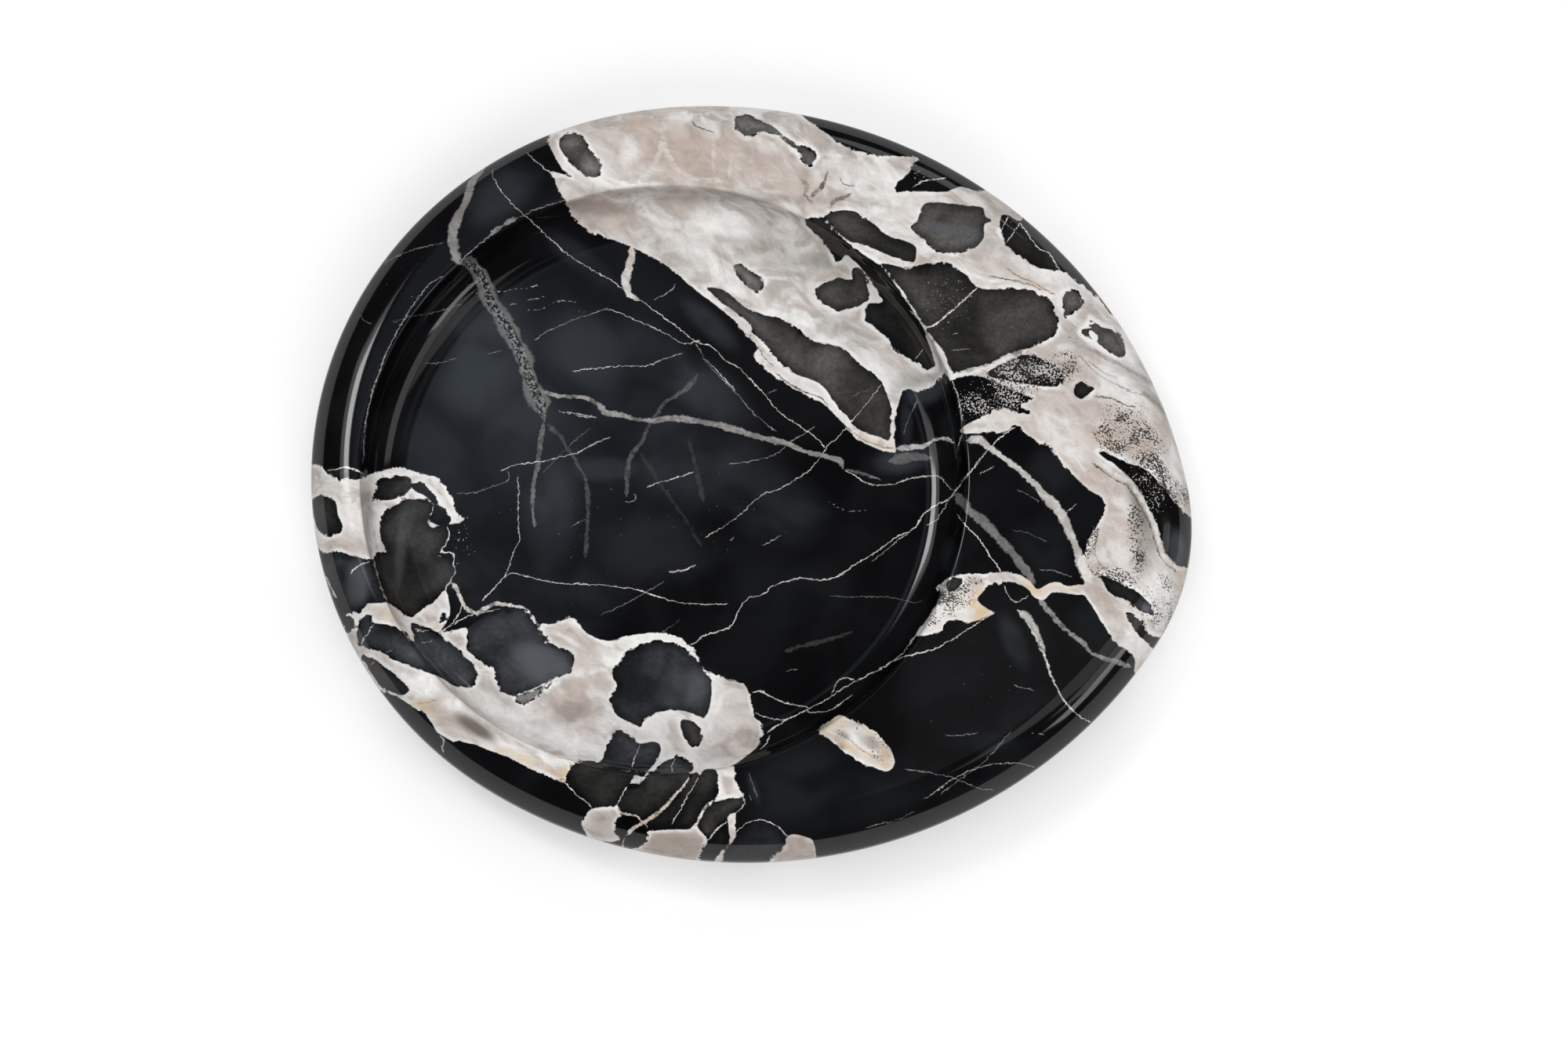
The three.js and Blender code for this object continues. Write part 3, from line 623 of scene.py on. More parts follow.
# Thin dark lines in the pale beds: half width, strength and course
CRACKS = [
    (2.6, 0.90, [(1056, 217), (1053, 226), (1049, 238), (1040, 246), (1033, 253)]),
    (2.4, 0.80, [(1087, 246), (1076, 252), (1064, 256), (1059, 266)]),
    (1.8, 0.80, [(882, 153), (889, 162), (900, 165), (912, 170)]),
    (2.4, 0.60, [(1020, 228), (1030, 236), (1027, 248), (1038, 262)]),
    (2.0, 0.60, [(1070, 226), (1078, 236), (1092, 238)]),
    (2.0, 0.65, [(1387, 459), (1397, 467), (1411, 477), (1427, 483)]),
    (2.4, 0.45, [(1388, 444), (1410, 456), (1432, 467), (1450, 477), (1474, 492)]),
    (2.0, 0.40, [(1376, 452), (1400, 478), (1430, 494), (1462, 506)]),
    (2.0, 0.80, [(1394, 506), (1417, 508), (1429, 513), (1438, 518), (1451, 518)]),
    (2.4, 0.50, [(1455, 499), (1468, 509), (1480, 519), (1490, 532)]),
    (2.0, 0.80, [(1282, 341), (1299, 352), (1316, 359), (1331, 368), (1347, 377)]),
    (1.8, 0.65, [(1259, 352), (1284, 356), (1312, 362), (1330, 371)]),
    (2.0, 0.80, [(988, 474), (1004, 488), (1026, 500), (1046, 507), (1058, 520)]),
    (1.8, 0.75, [(966, 440), (976, 458), (990, 470)]),
    (1.8, 0.65, [(1075, 541), (1098, 559), (1122, 569), (1142, 573)]),
    (2.2, 0.80, [
        (1392, 590), (1404, 599), (1426, 614), (1438, 620), (1446, 632), (1455, 646), (1460, 657),
        (1467, 670), (1471, 683), (1475, 697), (1480, 710), (1490, 722), (1503, 731),
    ]),
    (1.8, 0.65, [(1392, 668), (1400, 682), (1396, 704), (1404, 722)]),
    (1.8, 0.65, [(558, 893), (545, 896), (530, 898)]),
    (1.8, 0.55, [(1056, 930), (1076, 938), (1098, 956), (1124, 972)]),
]

# Wide veins with a core of dark and light grains: half width, strength and course
GRAINY_VEINS = [
    ((8.0, 11.0), 0.45, [
        (583, 331), (600, 337), (611, 347), (620, 367), (628, 390), (648, 419), (660, 441), (671, 470),
        (680, 493), (690, 516), (694, 538),
    ]),
]

# Rows of small white dashes: half width, strength and course, then the beat of the dashes
DASHED_VEINS = [
    (1.0, 0.55, [(600, 374), (651, 371), (691, 364)]),
    (1.0, 0.55, [(643, 390), (700, 377)]),
    (0.9, 0.50, [(665, 397), (691, 394), (709, 384), (737, 385)]),
    (0.9, 0.50, [(736, 398), (749, 398)]),
    (1.2, 0.50, [(711, 524), (740, 531), (763, 533)]),
    (1.0, 0.45, [(1309, 933), (1338, 938)]),
    (0.9, 0.40, [(701, 690), (735, 668), (752, 660)]),
    (0.9, 0.40, [(1055, 640), (1080, 652), (1110, 650)]),
]
DASH_LENGTH = 7.0
DASH_UNEVENNESS = 1.7
DASH_LIMIT = -0.2

# Soft spots: place, half widths, turn in degrees and strength
OCHRE_SPOTS = [
    (1060, 926, 22, 6, -35, 0.6), (1100, 960, 34, 5, 32, 0.5), (1128, 968, 8, 14, 0, 0.8),
    (1250, 772, 14, 26, 10, 0.9), (1318, 748, 18, 10, 20, 0.8), (1295, 770, 7, 6, 0, 1.0),
    (1225, 775, 26, 22, 0, 0.15), (1350, 749, 22, 8, 0, 0.45), (596, 766, 8, 8, 0, 0.7),
    (541, 896, 18, 4, -8, 0.9), (672, 970, 46, 6, 24, 0.8), (718, 988, 8, 12, 20, 0.9),
    (545, 905, 20, 5, 30, 0.6), (829, 1043, 22, 7, -36, 1.3), (866, 1010, 26, 6, -50, 0.4),
    (1392, 560, 26, 16, 30, 0.20), (812, 157, 14, 7, 0, 0.5), (1310, 357, 40, 5, 27, 0.55),
    (495, 782, 16, 8, 20, 0.35), (1510, 760, 10, 40, 0, 0.3), (803, 326, 7, 16, 0, 0.5),
    (1030, 475, 40, 4, 30, 0.5), (1120, 566, 30, 4, 18, 0.5), (1068, 926, 16, 6, 10, 0.7),
    (1084, 953, 18, 5, 35, 0.8), (1110, 935, 14, 5, 30, 0.6), (1122, 972, 16, 4, 15, 0.9),
]
PINK_SPOTS = [
    (905, 205, 110, 36, 10, 1.0), (1015, 236, 56, 24, 25, 1.0), (830, 172, 34, 24, 0, 0.5),
    (990, 195, 40, 24, 20, 0.5), (768, 274, 48, 20, 18, 1.0), (880, 262, 60, 14, 0, 0.4),
    (1450, 560, 110, 150, 0, 0.38), (1440, 470, 60, 30, 30, 0.3), (1425, 760, 110, 120, 0, 0.42),
    (860, 1080, 70, 34, 10, 0.95), (1020, 1090, 40, 40, 0, 1.0), (770, 1052, 36, 30, 0, 0.7),
    (440, 650, 30, 60, 0, 0.25), (945, 925, 40, 60, 0, 0.45), (580, 905, 26, 30, 0, 0.7),
    (1140, 440, 60, 30, 30, 0.5), (1100, 945, 60, 40, 0, 0.3), (727, 908, 40, 30, 0, 0.8),
]
# Brownish stains, and painted shade: the two long thin spots along the bowl's far lip paint the lip's shadow
BROWN_STAIN_AND_SHADE_SPOTS = [
    (606, 928, 30, 9, 32, 1.25), (727, 908, 24, 14, -25, 0.55), (760, 264, 44, 9, 5, 0.45),
    (862, 1082, 46, 18, 5, 0.55), (778, 1054, 26, 20, 0, 0.38), (1015, 1092, 34, 26, 0, 0.42),
    (1050, 925, 12, 8, -35, 0.7), (470, 650, 5, 40, 0, 0.5), (1452, 640, 7, 45, -18, 0.8),
    (1430, 470, 60, 7, 28, 0.35), (1475, 512, 34, 6, 42, 0.5), (900, 250, 170, 7, 2, 0.45),
    (1250, 300, 20, 20, 0, 0.2), (1290, 348, 40, 10, 20, 0.25), (1076, 938, 9, 5, 20, 0.8),
    (1106, 946, 12, 8, 30, 0.45), (1098, 922, 5, 4, 0, 0.8), (1130, 962, 8, 6, 0, 0.6),
    (1074, 952, 5, 4, 0, 0.9),
]
# Smoky clouds of the black, and painted reflections: bluish glow on the bowl floor, glints on cove,
# fragments and east edge
SMOKE_AND_REFLECTION_SPOTS = [
    (1210, 292, 30, 7, 8, 0.9), (905, 413, 40, 13, 42, 0.45), (830, 452, 60, 34, 35, 0.38),
    (618, 462, 50, 80, 20, 0.56), (560, 580, 44, 60, 10, 0.18), (668, 555, 60, 60, 10, 0.36),
    (701, 652, 32, 76, 0, 0.50), (895, 590, 84, 54, 20, 0.42), (980, 640, 70, 40, 20, 0.28),
    (755, 450, 60, 44, 20, 0.40), (1155, 585, 34, 16, -12, 0.70), (740, 330, 50, 14, 38, 0.30),
    (620, 740, 60, 40, 0, 0.25), (840, 700, 80, 40, 0, 0.16), (1260, 900, 90, 60, 0, 0.05),
    (1000, 760, 90, 40, 0, 0.06), (1120, 1010, 90, 30, -20, 0.06), (511, 700, 6, 50, 4, 0.40),
    (905, 505, 62, 30, 42, 0.55), (772, 598, 46, 14, -4, 0.35), (1294, 820, 13, 34, -24, 0.40),
    (455, 745, 13, 26, 0, 0.8), (1182, 500, 26, 14, -25, 0.8), (1156, 540, 7, 26, 0, 0.5),
    (962, 1008, 6, 20, -20, 0.4), (1340, 600, 26, 34, 40, 0.15), (1212, 545, 12, 20, 0, 0.2),
    (1500, 700, 10, 22, 0, 0.8), (1465, 778, 10, 6, 30, 0.9), (1330, 700, 40, 30, 40, 0.12),
    (1400, 800, 34, 34, 45, 0.2), (1212, 712, 10, 22, 0, 0.3), (1252, 945, 60, 14, 0, 0.1),
    (692, 848, 40, 24, 35, 0.75), (872, 878, 34, 20, -20, 0.45), (430, 602, 14, 4, 0, 0.5),
    (705, 770, 76, 50, 0, 0.22), (800, 508, 50, 34, 0, 0.16), (1020, 1000, 70, 40, -20, 0.16),
    (640, 246, 50, 26, -38, 0.42),
]
STIPPLE_SPOTS = [
    (1434, 552, 46, 40, 40, 1.0), (1462, 572, 36, 26, 45, 0.9), (1298, 482, 66, 26, -14, 1.0),
    (1355, 468, 26, 26, 0, 0.95), (1391, 690, 11, 44, 8, 1.0), (1450, 690, 14, 60, -6, 0.95),
    (1415, 732, 44, 14, 20, 0.9), (1480, 770, 30, 44, 0, 0.85), (1215, 764, 32, 26, 0, 1.05),
    (1196, 778, 12, 30, 25, 0.9), (1240, 742, 30, 8, 0, 0.7), (1120, 955, 16, 24, -30, 0.8),
    (1080, 930, 24, 12, 20, 0.55), (1450, 770, 40, 30, 0, 0.4), (1375, 425, 20, 18, 0, 0.5),
    (1240, 534, 18, 8, -20, 0.3), (700, 830, 20, 16, 0, 0.3), (1497, 628, 26, 20, 45, 1.2),
    (1470, 592, 30, 14, 42, 1.0),
]
ASH_SPOTS = [
    (990, 325, 60, 26, 35, 0.4), (1050, 335, 16, 10, 20, 0.9), (1165, 484, 26, 14, -20, 0.8),
    (1462, 700, 12, 60, -8, 0.75), (1450, 650, 8, 40, -20, 0.6), (1480, 790, 20, 30, 0, 0.5),
    (1235, 240, 24, 5, 5, 0.6), (1075, 425, 40, 20, 35, 0.4), (860, 330, 50, 16, 35, 0.3),
    (640, 900, 40, 20, 30, 0.35), (1040, 205, 8, 26, 30, 0.4), (1376, 428, 18, 22, 0, 0.5),
    (810, 300, 30, 16, 0, 0.3), (1440, 500, 60, 8, 28, 0.4),
]
WHITE_SPOTS = [
    (572, 893, 26, 9, 38, 1.0), (640, 952, 34, 7, 26, 0.9), (640, 912, 60, 14, 36, 0.9),
    (730, 950, 56, 14, 24, 0.95), (890, 940, 24, 34, 0, 0.7), (780, 905, 10, 30, 20, 0.8),
    (925, 286, 44, 16, 15, 0.9), (1090, 940, 24, 12, 35, 0.6), (814, 997, 16, 6, -15, 1.2),
    (1110, 235, 56, 22, 20, 0.7), (803, 193, 12, 18, 0, 0.9), (1140, 285, 70, 18, 25, 0.5),
    (760, 215, 20, 26, 30, 0.5), (1320, 360, 60, 22, 30, 0.6), (542, 876, 26, 16, 20, 1.1),
    (700, 930, 60, 20, 25, 0.6), (900, 925, 30, 30, 0, 0.5), (905, 340, 60, 14, 35, 0.6),
    (1010, 410, 40, 14, 30, 0.5), (1120, 500, 20, 24, 30, 0.5), (1215, 770, 36, 24, 0, 1.0),
    (430, 620, 24, 10, 0, 0.8), (1270, 532, 30, 8, 0, 0.9), (820, 840, 60, 14, 0, 0.7),
    (1480, 790, 12, 14, 0, 0.7), (1450, 482, 46, 44, 40, 0.75), (1482, 752, 22, 44, 0, 0.8),
    (1362, 560, 40, 20, 40, 0.6), (1502, 600, 14, 50, 10, 0.6), (1450, 820, 30, 16, 50, 1.0),
    (1340, 358, 50, 14, 30, 0.7), (1140, 258, 40, 14, 20, 0.5), (1080, 962, 36, 4, 36, 1.0),
    (1112, 980, 20, 4, 18, 1.0), (1100, 916, 30, 4, 30, 0.8),
]
SPECK_SPOTS = [
    (1205, 385, 46, 40, 0, 0.65), (1268, 508, 54, 26, -10, 1.15), (1315, 474, 50, 20, 5, 1.35),
    (1462, 628, 40, 46, 40, 0.9), (1210, 290, 46, 30, 0, 0.5), (1300, 400, 60, 30, 0, 0.4),
    (1170, 220, 26, 18, 0, 0.6), (545, 380, 80, 60, 0, 0.35), (1260, 880, 110, 60, 0, 0.3),
    (820, 660, 220, 100, 0, 0.3), (590, 690, 16, 40, 0, 0.6),
]

# Colours of the dark stone
BLACK_GROUND = (0.0022, 0.0022, 0.0026, 1)
HAZY_GROUND = (0.0056, 0.0058, 0.0066, 1)
# Smoky cloud colours; they also paint the bowl floor's reflected bluish glow and glints on fragments
SMOKE_AND_REFLECTION = (0.045, 0.051, 0.060, 1)
SMOKE_AND_REFLECTION_ON_FRAGMENT = (0.105, 0.112, 0.125, 1)
WARM_FRAGMENT_TINT = (1.0, 0.96, 0.91, 1)
COOL_FRAGMENT_TINT = (0.90, 0.95, 1.06, 1)
WHITE_SPECK = (0.50, 0.48, 0.46, 1)

# Colours of the pale stone and of its stains
DULL_CALCITE = (0.50, 0.445, 0.410, 1)
CREAM_CALCITE = (0.75, 0.728, 0.704, 1)
ROSY_CALCITE = (0.54, 0.465, 0.424, 1)
BRIGHT_CALCITE = (0.86, 0.845, 0.825, 1)
SHADED_CALCITE = (0.34, 0.308, 0.282, 1)
PINK_STAIN = (0.50, 0.402, 0.354, 1)
ASH_STAIN = (0.30, 0.298, 0.275, 1)
WHITE_STAIN = (0.85, 0.835, 0.815, 1)
FRAGMENT_HALO = (0.84, 0.82, 0.795, 1)
BED_EDGE = (0.85, 0.835, 0.812, 1)
# Brownish stain colour, which also paints the shade under the bowl's far lip
BROWN_STAIN_AND_SHADE = (0.17, 0.142, 0.124, 1)
DARK_PIT = (0.022, 0.020, 0.018, 1)

# Colours of the veins and of the highlights painted as veins, and of the cracks
DULL_VEIN_AND_HIGHLIGHT = (0.60, 0.560, 0.525, 1)
WHITE_VEIN_AND_HIGHLIGHT = (0.78, 0.765, 0.740, 1)
GRAINY_VEIN_BAND = (0.40, 0.40, 0.39, 1)
GRAINY_VEIN_DARK = (0.010, 0.010, 0.011, 1)
GRAINY_VEIN_LIGHT = (0.22, 0.218, 0.212, 1)
CRACK_BROWN = (0.085, 0.066, 0.054, 1)
OCHRE_STAIN = (0.64, 0.465, 0.265, 1)

# Raggedness, in pixels of the photograph: teeth of the beds' edges, bends and jags of the veins,
# and how soft a vein's edge is
EDGE_TEETH = 17.0
VEIN_BENDS = 5.0
VEIN_JAGS = 5.0
VEIN_REACH = 6.0
VEIN_SOFT_SHARE = 0.2
VEIN_SOFT_LEAST = 0.3

# Polish: the pale stone is a little rougher than the dark, and the gloss fades aslant
DARK_ROUGHNESS = 0.08
PALE_EXTRA_ROUGHNESS = 0.12
STONE_IOR = 1.4
GLOSS_SQUARE_ON = 0.5
GLOSS_ASLANT = 0.03
GLOSS_FADE_START = 0.22
GLOSS_FADE_END = 0.75

# Felt and glue
FELT_GROUND = (0.018, 0.017, 0.016, 1)
FELT_NAP = (0.060, 0.057, 0.054, 1)
FELT_ROUGHNESS = 0.95
FELT_SHEEN = 0.3
NAP_STRENGTH = 0.6
NAP_HEIGHT = 0.0004
GLUE_CREAM = (0.62, 0.59, 0.51, 1)
GLUE_PALE = (0.74, 0.71, 0.64, 1)
GLUE_ROUGHNESS = 0.5


def arc_centres():
    """Middles of the outline's arcs, with the slab's own middle at x = 0, and the bearing at which
    the narrow end's arc begins."""
    lean = FLANK_RADIUS - WIDE_END_RADIUS
    flank_x = -lean * math.cos(FLANK_START_BEARING)
    flank_y = lean * math.sin(FLANK_START_BEARING)
    narrow_bearing = math.asin(flank_y / (FLANK_RADIUS - NARROW_END_RADIUS))
    narrow_x = flank_x + (FLANK_RADIUS - NARROW_END_RADIUS) * math.cos(narrow_bearing)
    wide_x = (WIDE_END_RADIUS - NARROW_END_RADIUS - narrow_x) / 2
    return wide_x, wide_x + flank_x, flank_y, wide_x + narrow_x, narrow_bearing


def outline_point(bearing, inset):
    """The outline's point whose outward normal has this bearing, moved inwards."""
    wide_x, flank_x, flank_y, narrow_x, narrow_bearing = arc_centres()
    turn = math.acos(math.cos(bearing))
    side = math.copysign(1, math.sin(bearing))
    centre_x, centre_y, radius = flank_x, -side * flank_y, FLANK_RADIUS
    if turn >= FLANK_START_BEARING:
        centre_x, centre_y, radius = wide_x, 0, WIDE_END_RADIUS
    elif turn <= narrow_bearing:
        centre_x, centre_y, radius = narrow_x, 0, NARROW_END_RADIUS
    reach = radius - inset
    return centre_x + reach * math.cos(bearing), centre_y + reach * math.sin(bearing)


def even_bearings(count):
    """Bearings whose points are evenly spaced along the outline."""
    fine = np.linspace(0, 2 * math.pi, BEARING_SAMPLES)
    points = np.array([outline_point(bearing, 0) for bearing in fine])
    steps = np.hypot(*np.diff(points, axis=0).T)
    travelled = np.concatenate([[0], np.cumsum(steps)])
    stops = np.arange(count) * travelled[-1] / count
    return np.interp(stops, travelled, fine)


def quarter_turn(rows):
    """Angles from nothing to a quarter turn, in even steps."""
    return [row * math.pi / 2 / rows for row in range(rows + 1)]


def circle(x, y, z, radius, columns):
    angles = np.arange(columns) * 2 * math.pi / columns
    return [(x + radius * math.cos(a), y + radius * math.sin(a), z) for a in angles]


class Skin:
    """Points and faces of a piece while they are gathered."""

    def __init__(self):
        self.points = []
        self.faces = []

    def ring(self, points):
        first = len(self.points)
        self.points.extend(points)
        return list(range(first, len(self.points)))

    def bridge(self, lower, upper):
        count = len(lower)
        for i in range(count):
            j = (i + 1) % count
            self.faces.append((lower[i], lower[j], upper[j], upper[i]))

    def fill(self, rings, inside, z, up):
        """Triangles between rings of points at one height, with even points inside."""
        corners = [self.points[i][:2] for ring in rings for i in ring]
        indices = [i for ring in rings for i in ring]
        edges = []
        start = 0
        for ring in rings:
            count = len(ring)
            edges.extend((start + i, start + (i + 1) % count) for i in range(count))
            start += count
        indices.extend(self.ring([(x, y, z) for x, y in inside]))
        corners.extend(inside)
        made = delaunay_2d_cdt([Vector(c) for c in corners], edges, [], 0, MERGE_DISTANCE)
        places, triangles, sources = made[0], made[2], made[3]
        for triangle in triangles:
            middle = sum((places[i] for i in triangle), Vector((0, 0))) / 3
            if len(rings) == 2 and not rim_holds(middle):
                continue
            face = [indices[sources[i][0]] for i in triangle]
            self.faces.append(face if up else face[::-1])


def bowl_centre():
    low, high = frame["record"]["physics"]["openings"][0]["box_m"]
    return (low[0] + high[0]) / 2, (low[1] + high[1]) / 2


def rim_holds(point):
    """True outside the bowl's lip."""
    x, y = bowl_centre()
    chord = (BOWL_RADIUS + BOWL_LIP_ROUND) * math.cos(math.pi / BOWL_COLUMNS)
    return math.hypot(point[0] - x, point[1] - y) > chord


def even_grid(step, holds):
    """Points of an even triangular grid where holds(x, y) is true."""
    (low_x, low_y, _), (high_x, high_y, _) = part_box("marble_body")
    rise = step * math.sqrt(3) / 2
    points = []
    rows = int((high_y - low_y) / rise)
    columns = int((high_x - low_x) / step)
    for row in range(rows):
        y = low_y + row * rise
        shift = step / 2 * (row % 2)
        points.extend((low_x + column * step + shift, y) for column in range(columns))
    return [point for point in points if holds(*point)]


def outline_reach(x, y):
    """How far inside the outline a point is."""
    wide_x, flank_x, flank_y, narrow_x, narrow_bearing = arc_centres()
    y = abs(y)
    bearing = math.atan2(y, x - wide_x)
    if bearing >= FLANK_START_BEARING:
        return WIDE_END_RADIUS - math.hypot(x - wide_x, y)
    if math.atan2(y, x - narrow_x) <= narrow_bearing and x > narrow_x:
        return NARROW_END_RADIUS - math.hypot(x - narrow_x, y)
    return FLANK_RADIUS - math.hypot(x - flank_x, y + flank_y)


def stone_mesh():
    """The carved slab: floor, cove, wall, lip, flat rim, round edge and underside. Returns its mesh
    and the rings of the round edge."""
    (_, _, low_z), (_, _, top_z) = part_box("marble_body")
    floor_z = next(m["pos_m"][2] for m in frame["record"]["mounts"] if m["name"] == "bowl_floor")
    centre_x, centre_y = bowl_centre()
    skin = Skin()

    def bowl_ring(radius, z):
        return skin.ring(circle(centre_x, centre_y, z, radius, BOWL_COLUMNS))

    # Bowl
    cove = []
    for rise in quarter_turn(COVE_ROWS):
        radius = BOWL_RADIUS - BOWL_COVE_RADIUS * (1 - math.sin(rise))
        cove.append(bowl_ring(radius, floor_z + BOWL_COVE_RADIUS * (1 - math.cos(rise))))
    wall_foot = floor_z + BOWL_COVE_RADIUS
    lip_foot = top_z - BOWL_LIP_ROUND
    for row in range(1, WALL_ROWS + 1):
        cove.append(bowl_ring(BOWL_RADIUS, wall_foot + (lip_foot - wall_foot) * row / WALL_ROWS))
    for turn in quarter_turn(LIP_ROWS)[1:]:
        radius = BOWL_RADIUS + BOWL_LIP_ROUND * (1 - math.cos(turn))
        cove.append(bowl_ring(radius, lip_foot + BOWL_LIP_ROUND * math.sin(turn)))
    for inner, outer in zip(cove, cove[1:]):
        skin.bridge(outer, inner)

    # Round edge
    bearings = even_bearings(OUTLINE_COLUMNS)
    edge_height = (top_z - low_z - EDGE_BAND_HEIGHT) / 2

    def edge_ring(turn, middle_z):
        inset = EDGE_WIDTH * (1 - abs(math.sin(turn)))
        z = middle_z + edge_height * math.cos(turn)
        return skin.ring([(*outline_point(bearing, inset), z) for bearing in bearings])

    upper_middle = top_z - edge_height
    lower_middle = low_z + edge_height
    upper = [edge_ring(turn, upper_middle) for turn in quarter_turn(UPPER_EDGE_ROWS)]
    lower = [edge_ring(math.pi / 2 + turn, lower_middle) for turn in quarter_turn(LOWER_EDGE_ROWS)]
    edge = upper + lower
    for above, below in zip(edge, edge[1:]):
        skin.bridge(below, above)

    # Flat floor, rim and underside
    floor_reach = BOWL_RADIUS - BOWL_COVE_RADIUS - GRID_MARGIN
    bowl_reach = BOWL_RADIUS + BOWL_LIP_ROUND + GRID_MARGIN
    rim_inset = EDGE_WIDTH + GRID_MARGIN
    underside_inset = EDGE_WIDTH + UNDERSIDE_STEP / 2

    def on_floor(x, y):
        return math.hypot(x - centre_x, y - centre_y) < floor_reach

    def on_rim(x, y):
        return math.hypot(x - centre_x, y - centre_y) > bowl_reach and outline_reach(x, y) > rim_inset

    def on_underside(x, y):
        return outline_reach(x, y) > underside_inset

    skin.fill([cove[0]], even_grid(GRID_STEP, on_floor), floor_z, True)
    skin.fill([cove[-1], upper[0]], even_grid(GRID_STEP, on_rim), top_z, True)
    skin.fill([lower[-1]], even_grid(UNDERSIDE_STEP, on_underside), low_z, False)

    mesh = bpy.data.meshes.new("marble stone")
    mesh.from_pydata(skin.points, [], skin.faces)
    mesh.shade_smooth()
    return mesh, edge


def camera_axes():
    """The camera's right, up and back directions."""
    right = Vector((math.cos(CAMERA_TURN), math.sin(CAMERA_TURN), 0))
    back = Vector((
        math.sin(CAMERA_TURN) * math.sin(CAMERA_TILT),
        -math.cos(CAMERA_TURN) * math.sin(CAMERA_TILT),
        math.cos(CAMERA_TILT),
    ))
    return right, back.cross(right), back


def photo_places(points):
    """Where points of the stone are on the photograph, in its pixels."""
    right, up, back = (np.array(axis) for axis in camera_axes())
    focal = LENS_MM / SENSOR_MM * PHOTO_WIDTH
    offset = points - (np.array(CAMERA_AIM) + back * CAMERA_DISTANCE)
    depth = -(offset @ back)
    across = PHOTO_WIDTH / 2 + focal * (offset @ right) / depth
    down = PHOTO_HEIGHT / 2 - focal * (offset @ up) / depth
    return np.stack([across, down], axis=1)


def unfold_edge(places, edge):
    """Where the round edge turns out of the photograph's sight, lets the places run on outwards
    instead of back, so that the pattern isn't mirrored there."""
    rings = places[np.array(edge)]
    outward = rings[UPPER_EDGE_ROWS] - rings[0]
    reach = np.sum((rings - rings[0]) * outward, axis=2)
    outermost = np.argmax(reach, axis=0)
    border = rings[outermost, np.arange(OUTLINE_COLUMNS)]
    for row, ring in enumerate(edge):
        unseen = np.nonzero(row > outermost)[0]
        back = border[unseen] - rings[row, unseen]
        places[np.array(ring)[unseen]] = border[unseen] + back * UNSEEN_EDGE_SHARE
    return places


def curve(points, roundness=1.0, closed=False):
    """A line through the points, straight between them at roundness 0."""
    p = np.array(points, dtype=float)
    if closed:
        p = np.concatenate([p[-1:], p, p[:2]])
    else:
        p = np.concatenate([2 * p[:1] - p[1:2], p, 2 * p[-1:] - p[-2:-1]])
    t = np.linspace(0, 1, CURVE_STEPS, endpoint=False)[:, None]
    pieces = []
    for a, b, c, d in zip(p, p[1:], p[2:], p[3:]):
        bend = 2 * b + (c - a) * t + (2 * a - 5 * b + 4 * c - d) * t**2 + (3 * b - a - 3 * c + d) * t**3
        straight = b + (c - b) * t
        pieces.append(straight + (bend / 2 - straight) * roundness)
    line = np.concatenate(pieces)
    return line if closed else np.concatenate([line, p[-2:-1]])


def near(places, line, margin):
    """Indices of the places within the line's box and a margin."""
    low = line.min(axis=0) - margin
    high = line.max(axis=0) + margin
    return np.nonzero(np.all((places > low) & (places < high), axis=1))[0]


def nearest_on_line(places, line):
    """Distance to the nearest point of an open line, the same with the side as its sign, how far
    along the line that point is, and the line's length."""
    distance = np.full(len(places), np.inf)
    side = np.zeros(len(places))
    travelled = np.zeros(len(places))
    lengths = np.hypot(*np.diff(line, axis=0).T)
    starts = np.concatenate([[0], np.cumsum(lengths)])
    for a, b, length, start in zip(line, line[1:], lengths, starts):
        along = (b - a) / length
        offset = places - a
        run = np.clip(offset @ along, 0, length)
        gap = offset - run[:, None] * along
        far = np.hypot(gap[:, 0], gap[:, 1])
        closer = far < distance
        distance[closer] = far[closer]
        cross = along[0] * offset[:, 1] - along[1] * offset[:, 0]
        side[closer] = cross[closer]
        travelled[closer] = (start + run)[closer]
    return distance, np.copysign(distance, side), travelled, starts[-1]


def depth_inside(places, outline):
    """Distance to a closed outline, positive inside it."""
    line = curve(outline, OUTLINE_ROUNDNESS, closed=True)
    depth = np.full(len(places), -FAR_FROM_EDGE)
    chosen = near(places, line, FAR_FROM_EDGE)
    some = places[chosen]
    distance = nearest_on_line(some, np.concatenate([line, line[:1]]))[0]
    inside = np.zeros(len(some), dtype=bool)
    for a, b in zip(line, np.roll(line, -1, axis=0)):
        if a[1] == b[1]:
            continue
        spans = (a[1] > some[:, 1]) != (b[1] > some[:, 1])
        crossing = a[0] + (some[:, 1] - a[1]) * (b[0] - a[0]) / (b[1] - a[1])
        inside ^= spans & (some[:, 0] < crossing)
    depth[chosen] = np.clip(np.where(inside, distance, -distance), -FAR_FROM_EDGE, FAR_FROM_EDGE)
    return depth


def soft_spots(places, spots):
    """The strongest of a set of soft round spots, at each place."""
    field = np.zeros(len(places))
    for x, y, reach_x, reach_y, turn, strength in spots:
        angle = math.radians(turn)
        offset = places - (x, y)
        along = (offset[:, 0] * math.cos(angle) + offset[:, 1] * math.sin(angle)) / reach_x
        across = (offset[:, 1] * math.cos(angle) - offset[:, 0] * math.sin(angle)) / reach_y
        fade = np.clip(SPOT_REACH - np.hypot(along, across), 0, 1)
        field = np.maximum(field, strength * fade * fade * (3 - 2 * fade))
    return field


